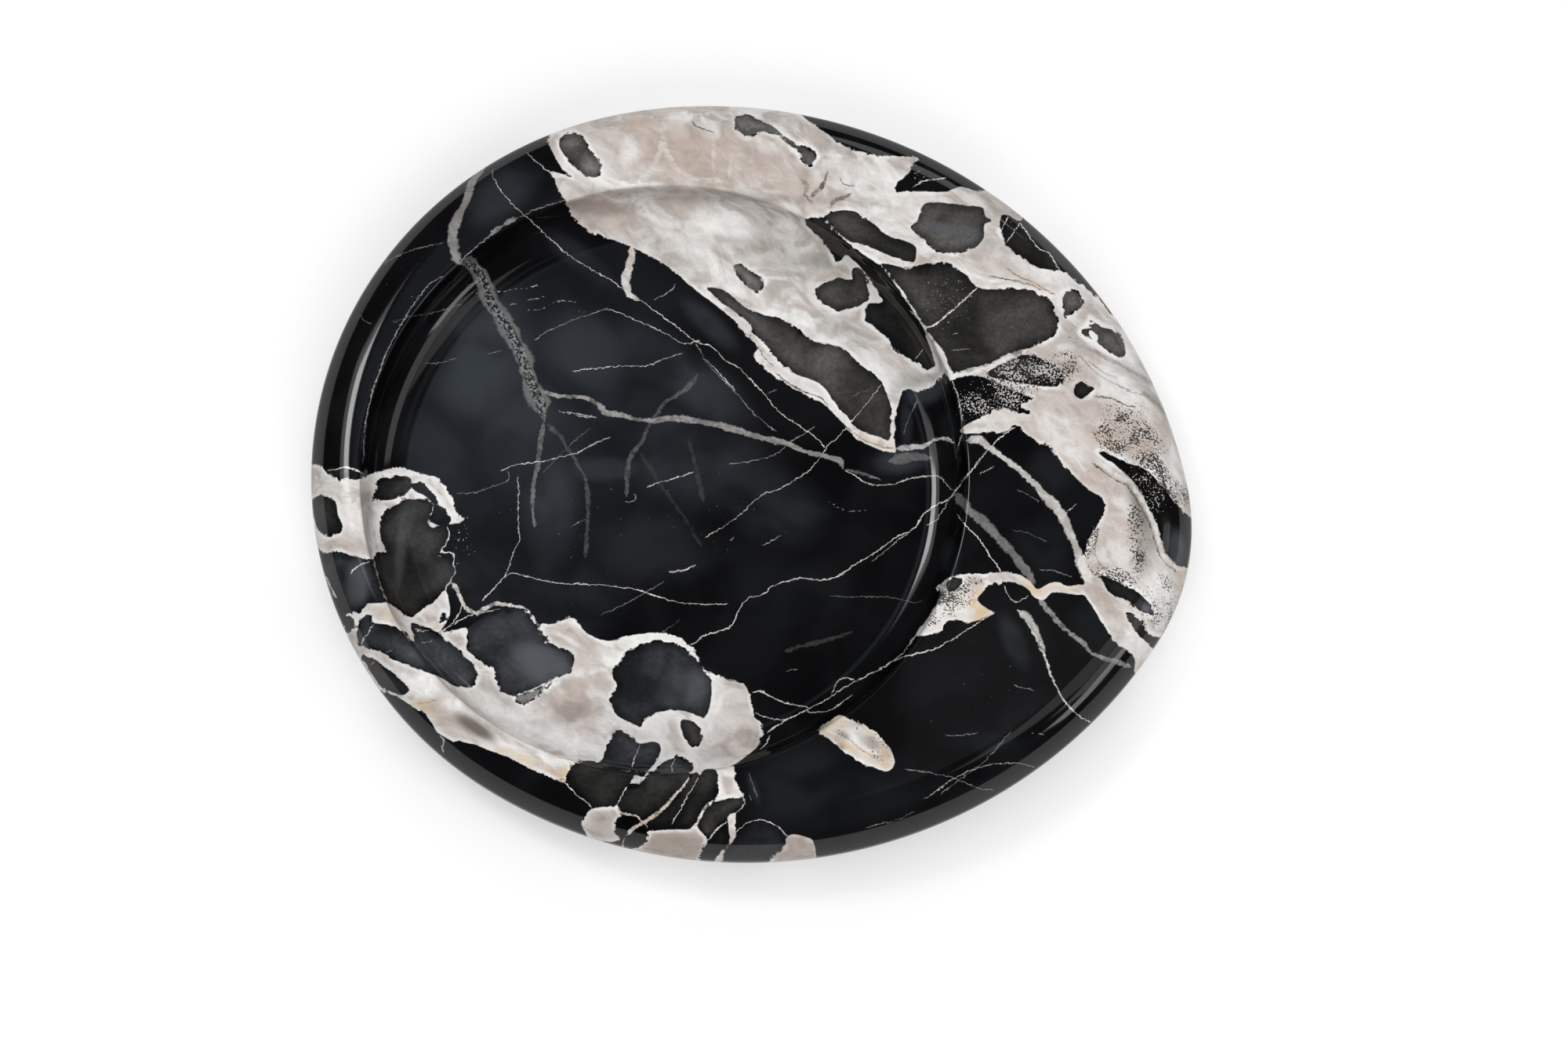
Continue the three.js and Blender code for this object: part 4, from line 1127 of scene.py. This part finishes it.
def vein_layers(places, veins, dashed=()):
    """Sorts veins into layers in which none comes near another, and gives each layer's offsets,
    distances, half widths and strengths."""
    layers = []
    for vein in [*veins, *dashed]:
        half_width, strength, points = vein
        line = curve(points, VEIN_ROUNDNESS)
        fits = None
        for layer in layers:
            if all(np.min(nearest_on_line(line, other)[0]) > VEIN_ROOM for other in layer["lines"]):
                fits = layer
                break
        if fits is None:
            fits = {"lines": [], "values": np.tile(NO_VEIN, (len(places), 1))}
            layers.append(fits)
        fits["lines"].append(line)
        chosen = near(places, line, VEIN_ROOM)
        distance, offset, travelled, length = nearest_on_line(places[chosen], line)
        ends = half_width if isinstance(half_width, tuple) else (half_width, half_width)
        if max(ends) < HAIRLINE_LIMIT:
            ends = np.array(ends) * HAIRLINE_SHARE
            strength = min(1, strength * HAIRLINE_STRENGTH)
        width = np.interp(travelled, [0, length], ends)
        to_end = np.minimum(travelled, length - travelled)
        width *= np.clip(to_end / (TAPER_WIDTHS * width + TAPER_LENGTH), 0.0, 1.0)
        if vein in dashed:
            beat = np.sin(travelled * 2 * math.pi / DASH_LENGTH) + np.sin(travelled * DASH_UNEVENNESS)
            width *= beat > DASH_LIMIT
        closer = distance < fits["values"][chosen, 1]
        rows = np.stack([offset, distance, width, np.full(len(chosen), strength)], axis=1)
        fits["values"][chosen[closer]] = rows[closer]
    return [layer["values"] for layer in layers]


def keep_number(mesh, name, values):
    attribute = mesh.attributes.new(name, "FLOAT", "POINT")
    attribute.data.foreach_set("value", np.ascontiguousarray(values, dtype=np.float32))


def keep_four(mesh, name, values):
    attribute = mesh.attributes.new(name, "FLOAT_COLOR", "POINT")
    attribute.data.foreach_set("color", np.ascontiguousarray(values, dtype=np.float32).ravel())


def keep_layers(mesh, title, layers):
    """Writes layers of veins on the stone's points and returns their names."""
    names = [f"{title} {number + 1}" for number in range(len(layers))]
    for name, values in zip(names, layers):
        keep_four(mesh, name, values)
    return names


def draw_pattern(mesh, edge):
    """Writes the beds, fragments, veins, cracks and stains on the stone's points, with the painted
    highlights, reflections and shade among the veins and stains. Returns the names of the layers of
    veins and of cracks."""
    points = np.empty(len(mesh.vertices) * 3)
    mesh.vertices.foreach_get("co", points)
    places = unfold_edge(photo_places(points.reshape(-1, 3)), edge)
    bed = np.full(len(places), -FAR_FROM_EDGE)
    for outline in PALE_BEDS.values():
        bed = np.maximum(bed, depth_inside(places, outline))
    fragment = np.full(len(places), -FAR_FROM_EDGE)
    grey = np.zeros(len(places))
    cool = np.zeros(len(places))
    for name, (level, outline) in FRAGMENTS.items():
        depth = depth_inside(places, outline)
        closer = depth > fragment
        grey[closer] = level
        cool[closer] = name in COOL_FRAGMENTS
        fragment = np.maximum(fragment, depth)
    keep_number(mesh, "bed", np.minimum(bed, -fragment))
    keep_number(mesh, "fragment", fragment)
    keep_number(mesh, "fragment grey", grey)
    keep_number(mesh, "fragment cool", cool)
    spots = {
        "stains": (OCHRE_SPOTS, PINK_SPOTS, BROWN_STAIN_AND_SHADE_SPOTS, SMOKE_AND_REFLECTION_SPOTS),
        "grains": (STIPPLE_SPOTS, SPECK_SPOTS, ASH_SPOTS, WHITE_SPOTS),
    }
    for title, kinds in spots.items():
        keep_four(mesh, title, np.stack([soft_spots(places, kind) for kind in kinds], axis=1))
    veins = keep_layers(mesh, "veins", vein_layers(places, VEINS_AND_HIGHLIGHTS, DASHED_VEINS))
    keep_four(mesh, "grainy veins", vein_layers(places, GRAINY_VEINS)[0])
    cracks = keep_layers(mesh, "cracks", vein_layers(places, CRACKS))
    return veins, cracks


class Shader:
    """Places and links nodes in a material's or a group's tree."""

    def __init__(self, tree):
        self.tree = tree

    def add(self, kind, **settings):
        node = self.tree.nodes.new(kind)
        for name, value in settings.items():
            setattr(node, name, value)
        return node

    def feed(self, socket, value):
        if isinstance(value, bpy.types.NodeSocket):
            self.tree.links.new(value, socket)
        else:
            socket.default_value = value

    def math(self, operation, *values):
        node = self.add("ShaderNodeMath", operation=operation)
        for socket, value in zip(node.inputs, values):
            self.feed(socket, value)
        return node.outputs[0]

    def product(self, first, *others):
        for other in others:
            first = self.math("MULTIPLY", first, other)
        return first

    def swing(self, noise, reach):
        """A noise as a swing to both sides of nothing."""
        return self.math("MULTIPLY_ADD", noise, reach, -reach / 2)

    def ramp(self, value, low, high, start=0.0, end=1.0):
        """A smooth step, from start where the value is low to end where it is high."""
        node = self.add("ShaderNodeMapRange", interpolation_type="SMOOTHSTEP")
        for socket, number in zip(node.inputs, (value, low, high, start, end)):
            self.feed(socket, number)
        return node.outputs[0]

    def mix(self, share, first, second, blend="MIX"):
        node = self.add("ShaderNodeMix", data_type="RGBA", blend_type=blend)
        self.feed(node.inputs[0], share)
        self.feed(node.inputs[6], first)
        self.feed(node.inputs[7], second)
        return node.outputs[2]

    def noise(self, where, scale, detail=2.0, roughness=0.5, distortion=0.0):
        node = self.add("ShaderNodeTexNoise")
        self.feed(node.inputs["Vector"], where)
        node.inputs["Scale"].default_value = scale
        node.inputs["Detail"].default_value = detail
        node.inputs["Roughness"].default_value = roughness
        node.inputs["Distortion"].default_value = distortion
        return node.outputs["Fac"]

    def cells(self, where, scale):
        node = self.add("ShaderNodeTexVoronoi")
        self.feed(node.inputs["Vector"], where)
        node.inputs["Scale"].default_value = scale
        return node

    def attribute(self, name):
        return self.add("ShaderNodeAttribute", attribute_name=name)

    def split(self, value):
        node = self.add("ShaderNodeSeparateXYZ")
        self.feed(node.inputs[0], value)
        return node.outputs

    def group(self, tree, **values):
        node = self.add("ShaderNodeGroup", node_tree=tree)
        for name, value in values.items():
            self.feed(node.inputs[name.replace("_", " ")], value)
        return node.outputs


def new_group(name, inputs, outputs):
    """An empty shader group with number inputs and outputs."""
    tree = bpy.data.node_groups.new(name, "ShaderNodeTree")
    for label in inputs:
        tree.interface.new_socket(label, in_out="INPUT", socket_type="NodeSocketFloat")
    for label in outputs:
        tree.interface.new_socket(label, in_out="OUTPUT", socket_type="NodeSocketFloat")
    shader = Shader(tree)
    entry = shader.add("NodeGroupInput")
    leave = shader.add("NodeGroupOutput")
    return tree, shader, entry.outputs, leave.inputs


def vein_group():
    """How much of a vein shows at a place, from its offset, distance and half width."""
    labels = ["Offset", "Distance", "Half width", "Strength", "Wander", "Swell"]
    tree, shader, entry, leave = new_group("vein line", labels, ["Mask"])
    wide = shader.math("MULTIPLY", entry["Half width"], entry["Swell"])
    off = shader.math("ABSOLUTE", shader.math("ADD", entry["Offset"], entry["Wander"]))
    soft = shader.math("MULTIPLY_ADD", wide, VEIN_SOFT_SHARE, VEIN_SOFT_LEAST)
    inner = shader.math("SUBTRACT", wide, soft)
    outer = shader.math("ADD", wide, soft)
    line = shader.ramp(off, inner, outer, 1.0, 0.0)
    close = shader.math("LESS_THAN", entry["Distance"], shader.math("ADD", wide, VEIN_REACH))
    there = shader.ramp(entry["Half width"], 0.1, 0.5)
    shown = shader.math("MULTIPLY", line, shader.math("MULTIPLY", close, there))
    shader.feed(leave["Mask"], shader.math("MULTIPLY", shown, entry["Strength"]))
    return tree


def new_material(name):
    material = bpy.data.materials.new(name)
    material.use_nodes = True
    material.node_tree.nodes.clear()
    shader = Shader(material.node_tree)
    surface = shader.add("ShaderNodeBsdfPrincipled")
    output = shader.add("ShaderNodeOutputMaterial")
    shader.feed(output.inputs["Surface"], surface.outputs[0])
    return material, shader, surface


def bedding(shader, where):
    """Coordinates drawn out along the stone's bedding."""
    turned = shader.add("ShaderNodeMapping")
    shader.feed(turned.inputs["Vector"], where)
    turned.inputs["Rotation"].default_value = (0, 0, BEDDING_TURN)
    drawn = shader.add("ShaderNodeVectorMath", operation="MULTIPLY")
    shader.feed(drawn.inputs[0], turned.outputs[0])
    drawn.inputs[1].default_value = BEDDING_STRETCH
    return drawn.outputs[0]


def stone_fields(shader):
    """The noises and the pattern's fields that the stone's colours are made from."""
    where = shader.add("ShaderNodeTexCoord").outputs["Object"]
    along = bedding(shader, where)
    teeth = shader.swing(shader.noise(where, scale=460, detail=5.0, roughness=0.70), EDGE_TEETH)
    toothed = shader.ramp(shader.noise(where, scale=95), 0.38, 0.62, 0.25, 1.15)
    ragged = shader.math("MULTIPLY", teeth, toothed)
    # The stains' third channel also paints shade under the lip, and their alpha also paints reflections
    stains = shader.attribute("stains")
    ochre, pink, brown_and_shade = shader.split(stains.outputs["Vector"])
    grains = shader.attribute("grains")
    stipple, specks, ash = shader.split(grains.outputs["Vector"])
    bed = shader.attribute("bed").outputs["Fac"]
    depth = shader.attribute("fragment").outputs["Fac"]
    soft = shader.ramp(shader.noise(where, scale=70), 0.40, 0.64, 0.8, 5.5)
    clumps = shader.ramp(shader.noise(where, scale=230, detail=2.5), 0.36, 0.62, 0.78, 1.22)
    bends = shader.swing(shader.noise(where, scale=380, detail=4.0, roughness=0.68), VEIN_BENDS)
    jags = shader.swing(shader.noise(where, scale=1150, roughness=0.6), VEIN_JAGS)
    return {
        "where": where,
        "along": along,
        "wander": shader.math("ADD", bends, jags),
        "swell": shader.ramp(shader.noise(where, scale=160), 0.3, 0.7, 0.60, 1.35),
        "broad": shader.noise(along, scale=34, detail=3.0, roughness=0.5, distortion=0.8),
        "swirl": shader.noise(along, scale=115, detail=2.5, roughness=0.45, distortion=1.8),
        "haze": shader.noise(where, scale=62, detail=2.5, roughness=0.45, distortion=0.4),
        "cloud": shader.noise(along, scale=85, detail=5.0, roughness=0.60, distortion=1.2),
        "fine": shader.noise(along, scale=300, detail=5.0, roughness=0.68, distortion=1.0),
        "grain": shader.noise(where, scale=900, detail=4.0, roughness=0.65),
        "ochre": ochre,
        "pink": pink,
        "brown_and_shade": brown_and_shade,
        "smoke_and_reflection": stains.outputs["Alpha"],
        "stipple": shader.math("MULTIPLY", stipple, clumps),
        "specks": shader.math("MULTIPLY", specks, clumps),
        "ash": ash,
        "white": grains.outputs["Alpha"],
        "bed": bed,
        "in_bed": shader.ramp(shader.math("ADD", bed, ragged), -0.8, 0.8),
        "depth": depth,
        "in_fragment": shader.ramp(
            shader.math("ADD", depth, ragged), shader.math("MULTIPLY", soft, -1.0), soft
        ),
        "level": shader.attribute("fragment grey").outputs["Fac"],
        "cool": shader.attribute("fragment cool").outputs["Fac"],
    }


def white_specks(shader, field):
    """Mask of small white specks, denser where the pattern says so."""
    grain = shader.noise(field["where"], scale=2100, roughness=0.6)
    over = shader.math("ADD", grain, shader.math("MULTIPLY_ADD", field["specks"], 0.22, -0.82))
    dense = shader.ramp(over, -0.01, 0.05)
    flecks = shader.cells(field["where"], scale=520)
    size = shader.math("MULTIPLY_ADD", field["specks"], 0.12, 0.07)
    uneven = shader.math("MULTIPLY", shader.noise(field["where"], scale=1800, detail=1.0), 0.16)
    far = shader.math("ADD", flecks.outputs["Distance"], uneven)
    pick = shader.split(flecks.outputs["Color"])[0]
    seldom = shader.math("GREATER_THAN", pick, shader.math("MULTIPLY_ADD", field["specks"], -0.3, 0.93))
    sparse = shader.math("MULTIPLY", shader.ramp(far, size, 0.0), seldom)
    return shader.math("MAXIMUM", dense, sparse)


def dark_pits(shader, field):
    """Mask of the black grains that stipple parts of the pale beds."""
    grain = shader.noise(field["along"], scale=2600, detail=2.5, roughness=0.6)
    over = shader.math("ADD", grain, shader.math("MULTIPLY_ADD", field["stipple"], 0.31, -0.82))
    return shader.ramp(over, -0.02, 0.04)


def dark_stone(shader, field):
    """Black ground with smoky clouds and painted reflections, dark fragments and scattered white specks."""
    haze = field["haze"]
    ground = shader.mix(shader.ramp(haze, 0.34, 0.66), BLACK_GROUND, HAZY_GROUND)
    # Smoky clouds, and painted reflections where the spots stand for the bowl floor's glow and glints
    smoke_and_reflection = shader.math("MULTIPLY", field["smoke_and_reflection"], shader.ramp(haze, 0.34, 0.62, 0.45, 1.0))
    ground = shader.mix(smoke_and_reflection, ground, SMOKE_AND_REFLECTION)
    body = shader.product(
        field["level"],
        shader.ramp(haze, 0.34, 0.66, 0.45, 1.5),
        shader.ramp(field["broad"], 0.35, 0.62, 0.65, 1.35),
        shader.ramp(field["grain"], 0.3, 0.7, 0.75, 1.2),
        shader.ramp(field["depth"], 0.0, 14.0, 0.45, 1.0),
    )
    tint = shader.mix(field["cool"], WARM_FRAGMENT_TINT, COOL_FRAGMENT_TINT)
    fragment = shader.mix(1.0, tint, body, "MULTIPLY")
    dark = shader.mix(field["in_fragment"], ground, fragment)
    # Painted reflections and smoky veils lighten the fragments
    dark = shader.mix(shader.product(smoke_and_reflection, field["in_fragment"]), dark, SMOKE_AND_REFLECTION_ON_FRAGMENT)
    return shader.mix(white_specks(shader, field), dark, WHITE_SPECK)


def pale_stone(shader, field):
    """Cloudy calcite, pink, ash grey or white in places and along its edges, stippled with black."""
    cloud, fine = field["cloud"], field["fine"]
    pale = shader.mix(shader.ramp(field["swirl"], 0.36, 0.60), DULL_CALCITE, CREAM_CALCITE)
    pale = shader.mix(shader.ramp(field["broad"], 0.56, 0.38, 0.0, 0.55), pale, ROSY_CALCITE)
    pale = shader.mix(shader.ramp(cloud, 0.53, 0.66, 0.0, 0.85), pale, BRIGHT_CALCITE)
    pale = shader.mix(shader.ramp(cloud, 0.45, 0.32, 0.0, 0.60), pale, SHADED_CALCITE)
    uneven = shader.ramp(field["broad"], 0.65, 0.35, 0.6, 1.0)
    pale = shader.mix(shader.product(field["pink"], uneven), pale, PINK_STAIN)
    pale = shader.mix(shader.product(field["ash"], uneven), pale, ASH_STAIN)
    white = shader.product(field["white"], shader.ramp(cloud, 0.3, 0.6, 0.4, 1.0))
    pale = shader.mix(white, pale, WHITE_STAIN)
    streak = shader.ramp(fine, 0.30, 0.68, 0.86, 1.08)
    pale = shader.mix(1.0, pale, streak, "MULTIPLY")
    halo = shader.product(shader.ramp(field["depth"], -8.0, -2.0), shader.ramp(cloud, 0.42, 0.62, 0.0, 0.75))
    pale = shader.mix(halo, pale, FRAGMENT_HALO)
    edge = shader.product(shader.ramp(field["bed"], 6.0, 1.0), shader.ramp(cloud, 0.40, 0.60, 0.15, 0.85))
    pale = shader.mix(edge, pale, BED_EDGE)
    # Brownish stains, and painted shade under the bowl's far lip
    pale = shader.mix(shader.product(field["brown_and_shade"], 0.8), pale, BROWN_STAIN_AND_SHADE)
    return shader.mix(shader.product(dark_pits(shader, field), 0.95), pale, DARK_PIT)


def read_vein(shader, field, line, name):
    """Mask, distance and half width of one layer of veins."""
    read = shader.attribute(name)
    offset, distance, half_width = shader.split(read.outputs["Vector"])
    mask = shader.group(
        line, Offset=offset, Distance=distance, Half_width=half_width, Strength=read.outputs["Alpha"],
        Wander=field["wander"], Swell=field["swell"],
    )[0]
    return mask, distance, half_width


def lines(shader, field, line, layer_names):
    """Mask of all the veins or cracks in the named layers. The grain breaks up the thin ones."""
    broken = shader.product(
        shader.ramp(field["fine"], 0.34, 0.54, 0.45, 1.0), shader.ramp(field["grain"], 0.34, 0.54, 0.55, 1.0)
    )
    masks = []
    for name in layer_names:
        mask, _, half_width = read_vein(shader, field, line, name)
        whole = shader.math("MAXIMUM", broken, shader.ramp(half_width, 2.0, 4.0, 0.0, 0.85))
        masks.append(shader.math("MULTIPLY", mask, whole))
    for mask in masks[1:]:
        masks[0] = shader.math("MAXIMUM", masks[0], mask)
    return masks[0]


def grainy_vein(shader, field, line, stone):
    """A grey vein with a core of dark and light grains, laid over the stone."""
    band, distance, half_width = read_vein(shader, field, line, "grainy veins")
    inner = shader.math("MULTIPLY", half_width, 0.45)
    core = shader.ramp(distance, shader.math("MULTIPLY", half_width, 0.8), inner)
    core = shader.math("MULTIPLY", core, shader.ramp(band, 0.05, 0.3))
    grain = shader.ramp(shader.noise(field["where"], scale=1700, detail=3.0, roughness=0.6), 0.47, 0.57)
    stone = shader.mix(shader.product(band, 0.7), stone, GRAINY_VEIN_BAND)
    speckle = shader.mix(grain, GRAINY_VEIN_DARK, GRAINY_VEIN_LIGHT)
    return shader.mix(core, stone, speckle)


def marble(vein_names, crack_names):
    """Polished stone, coloured by its points' pattern, with painted shade, highlights and reflections."""
    material, shader, surface = new_material("polished marble")
    field = stone_fields(shader)
    stone = shader.mix(field["in_bed"], dark_stone(shader, field), pale_stone(shader, field))
    line = vein_group()
    veins = lines(shader, field, line, vein_names)
    # The pale veins' colour also paints the highlights along the bowl's lip and a glint on the cove
    calcite = shader.mix(shader.ramp(field["fine"], 0.35, 0.65), DULL_VEIN_AND_HIGHLIGHT, WHITE_VEIN_AND_HIGHLIGHT)
    stone = shader.mix(veins, stone, calcite)
    stone = grainy_vein(shader, field, line, stone)
    cracks = lines(shader, field, line, crack_names)
    stone = shader.mix(cracks, stone, CRACK_BROWN)
    paleness = shader.math("MAXIMUM", field["in_bed"], veins)
    rust = shader.product(field["ochre"], shader.ramp(field["fine"], 0.36, 0.62, 0.15, 1.0), paleness)
    stone = shader.mix(rust, stone, OCHRE_STAIN)
    shader.feed(surface.inputs["Base Color"], stone)
    rough = shader.math("MULTIPLY_ADD", field["in_bed"], PALE_EXTRA_ROUGHNESS, DARK_ROUGHNESS)
    shader.feed(surface.inputs["Roughness"], rough)
    surface.inputs["IOR"].default_value = STONE_IOR
    aslant = shader.add("ShaderNodeLayerWeight").outputs["Facing"]
    gloss = shader.ramp(aslant, GLOSS_FADE_START, GLOSS_FADE_END, GLOSS_SQUARE_ON, GLOSS_ASLANT)
    shader.feed(surface.inputs["Specular IOR Level"], gloss)
    return material


def felt():
    """Dark pressed felt with a short nap."""
    material, shader, surface = new_material("dark felt")
    where = shader.add("ShaderNodeTexCoord").outputs["Object"]
    nap = shader.noise(where, scale=2600, detail=4.0, roughness=0.7)
    shader.feed(surface.inputs["Base Color"], shader.mix(nap, FELT_GROUND, FELT_NAP))
    surface.inputs["Roughness"].default_value = FELT_ROUGHNESS
    surface.inputs["Sheen Weight"].default_value = FELT_SHEEN
    bump = shader.add("ShaderNodeBump")
    bump.inputs["Strength"].default_value = NAP_STRENGTH
    bump.inputs["Distance"].default_value = NAP_HEIGHT
    shader.feed(bump.inputs["Height"], nap)
    shader.feed(surface.inputs["Normal"], bump.outputs[0])
    return material


def adhesive():
    """Cream sheet of glue."""
    material, shader, surface = new_material("cream adhesive")
    where = shader.add("ShaderNodeTexCoord").outputs["Object"]
    haze = shader.noise(where, scale=700, detail=3.0)
    shader.feed(surface.inputs["Base Color"], shader.mix(haze, GLUE_CREAM, GLUE_PALE))
    surface.inputs["Roughness"].default_value = GLUE_ROUGHNESS
    return material


# Felt pads: the edge is rounded over at the foot and at the glued face
PAD_EDGE_ROUND = 0.0008
PAD_COLUMNS = 72
PAD_ROUND_ROWS = 5


def pad_mesh(radius, height):
    """A disc with rounded edges, its middle at the origin."""
    skin = Skin()
    profile = []
    for turn in quarter_turn(PAD_ROUND_ROWS):
        inset = PAD_EDGE_ROUND * (1 - math.sin(turn))
        profile.append((radius - inset, -height / 2 + PAD_EDGE_ROUND * (1 - math.cos(turn))))
    profile += [(r, -z) for r, z in reversed(profile)]
    rings = [skin.ring(circle(0, 0, z, r, PAD_COLUMNS)) for r, z in profile]
    for lower, upper in zip(rings, rings[1:]):
        skin.bridge(lower, upper)
    skin.faces.append(tuple(reversed(rings[0])))
    skin.faces.append(tuple(rings[-1]))
    mesh = bpy.data.meshes.new("felt pad")
    mesh.from_pydata(skin.points, [], skin.faces)
    mesh.shade_smooth()
    return mesh


def show(mesh, name, material, node, place=(0, 0, 0)):
    """Puts a piece in the scene in place of a CAD node."""
    piece = bpy.data.objects.new(name, mesh)
    bpy.context.scene.collection.objects.link(piece)
    piece.location = place
    mesh.materials.append(material)
    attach(piece, "root")
    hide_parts(node)


def make_stone():
    mesh, edge = stone_mesh()
    veins, cracks = draw_pattern(mesh, edge)
    show(mesh, "carved_marble", marble(veins, cracks), "marble_body")


def make_feet():
    felt_material = felt()
    adhesive_material = adhesive()
    for place in ("wide_back", "wide_front", "narrow_back", "narrow_front"):
        low, high = (Vector(corner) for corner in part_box("felt_pad_" + place))
        size = high - low
        mesh = pad_mesh(size.x / 2, size.z)
        name = "soft_pad_" + place
        show(mesh, name, felt_material, "felt_pad_" + place, (low + high) / 2)
        glue = frame["nodes"]["adhesive_disc_" + place]
        glue.data.materials.clear()
        glue.data.materials.append(adhesive_material)


# Studio: white paper on the table and a dim room
FLOOR_SIZE = 6.0
FLOOR_GREY = 0.70
FLOOR_GLOW = 0.36
WORLD_GREY = (0.05, 0.052, 0.056, 1)


def make_floor():
    """White paper. Part of its white is its own where the camera, or a shiny or clear thing, looks
    at it."""
    half = FLOOR_SIZE / 2
    corners = [(-half, -half, 0), (half, -half, 0), (half, half, 0), (-half, half, 0)]
    mesh = bpy.data.meshes.new("floor")
    mesh.from_pydata(corners, [], [(0, 1, 2, 3)])
    floor = bpy.data.objects.new("floor", mesh)
    bpy.context.scene.collection.objects.link(floor)
    material, shader, surface = new_material("white paper")
    surface.inputs["Base Color"].default_value = (FLOOR_GREY, FLOOR_GREY, FLOOR_GREY, 1)
    surface.inputs["Roughness"].default_value = 1.0
    surface.inputs["Specular IOR Level"].default_value = 0.0
    surface.inputs["Emission Color"].default_value = (1, 1, 1, 1)
    ray = shader.add("ShaderNodeLightPath").outputs
    seen = shader.math("MAXIMUM", ray["Is Camera Ray"], ray["Is Glossy Ray"])
    seen = shader.math("MAXIMUM", seen, ray["Is Transmission Ray"])
    shader.feed(surface.inputs["Emission Strength"], shader.math("MULTIPLY", seen, FLOOR_GLOW))
    mesh.materials.append(material)


def add_lamp(name, across, up_picture, height, width, length, watts, colour=(1, 1, 1), mirrored=True):
    """A soft box at a place given along the picture's width and height, aimed at the stone. The
    polish mirrors it or doesn't."""
    lamp = bpy.data.lights.new(name, "AREA")
    lamp.shape = "RECTANGLE"
    lamp.size = width
    lamp.size_y = length
    lamp.energy = watts
    lamp.color = colour
    right, _, _ = camera_axes()
    ahead = Vector((-right.y, right.x, 0))
    place = right * across + ahead * up_picture + Vector((0, 0, height))
    z_axis = place.normalized()
    y_axis = (ahead - z_axis * ahead.dot(z_axis)).normalized()
    x_axis = y_axis.cross(z_axis)
    turn = Matrix((x_axis, y_axis, z_axis)).transposed().to_4x4()
    item = bpy.data.objects.new(name, lamp)
    item.matrix_world = Matrix.Translation(place) @ turn
    item.visible_glossy = mirrored
    bpy.context.scene.collection.objects.link(item)


def make_lights():
    # Each lamp's place along the picture's width and height and over the table, its width and length,
    # and its watts
    cool = (0.66, 0.83, 1.0)
    add_lamp("left lamp", -0.58, 0.43, 1.30, 0.30, 0.22, 2.4)
    add_lamp("left panel", -0.74, 0.42, 1.32, 0.56, 0.50, 1.75)
    add_lamp("right panel", 1.38, -0.25, 1.10, 0.60, 1.20, 3.4)
    add_lamp("right ceiling panel", 0.72, -0.25, 1.30, 0.60, 0.50, 0.85)
    add_lamp("low right lamp", 1.41, -0.85, 0.73, 0.35, 0.50, 2.4)
    add_lamp("far panel", 0.60, 1.65, 0.83, 0.75, 0.50, 2.2)
    add_lamp("ceiling window", -0.17, 0.385, 1.30, 0.24, 0.22, 0.040, cool)
    add_lamp("small ceiling window", -0.17, 0.37, 1.29, 0.12, 0.14, 0.016, cool)
    add_lamp("ceiling haze", 0.24, 0.10, 1.30, 0.32, 0.30, 0.050)
    add_lamp("near fill", 0.0, -1.45, 1.30, 1.60, 1.20, 19, mirrored=False)
    add_lamp("top fill", 0.0, 0.20, 1.90, 1.20, 1.20, 10, mirrored=False)
    add_lamp("far fill", 0.10, 1.45, 1.25, 1.60, 1.20, 8.5, mirrored=False)
    world = bpy.data.worlds.new("dim studio")
    bpy.context.scene.world = world
    world.use_nodes = True
    world.node_tree.nodes["Background"].inputs["Color"].default_value = WORLD_GREY


def make_camera():
    camera = bpy.data.cameras.new("camera")
    camera.lens = LENS_MM
    camera.sensor_width = SENSOR_MM
    camera.sensor_fit = "HORIZONTAL"
    item = bpy.data.objects.new("camera", camera)
    right, up, back = camera_axes()
    turn = Matrix((right, up, back)).transposed().to_4x4()
    item.matrix_world = Matrix.Translation(Vector(CAMERA_AIM) + back * CAMERA_DISTANCE) @ turn
    bpy.context.scene.collection.objects.link(item)
    bpy.context.scene.camera = item


make_stone()
make_feet()
make_floor()
make_lights()
make_camera()
bpy.context.scene.view_settings.view_transform = "Standard"
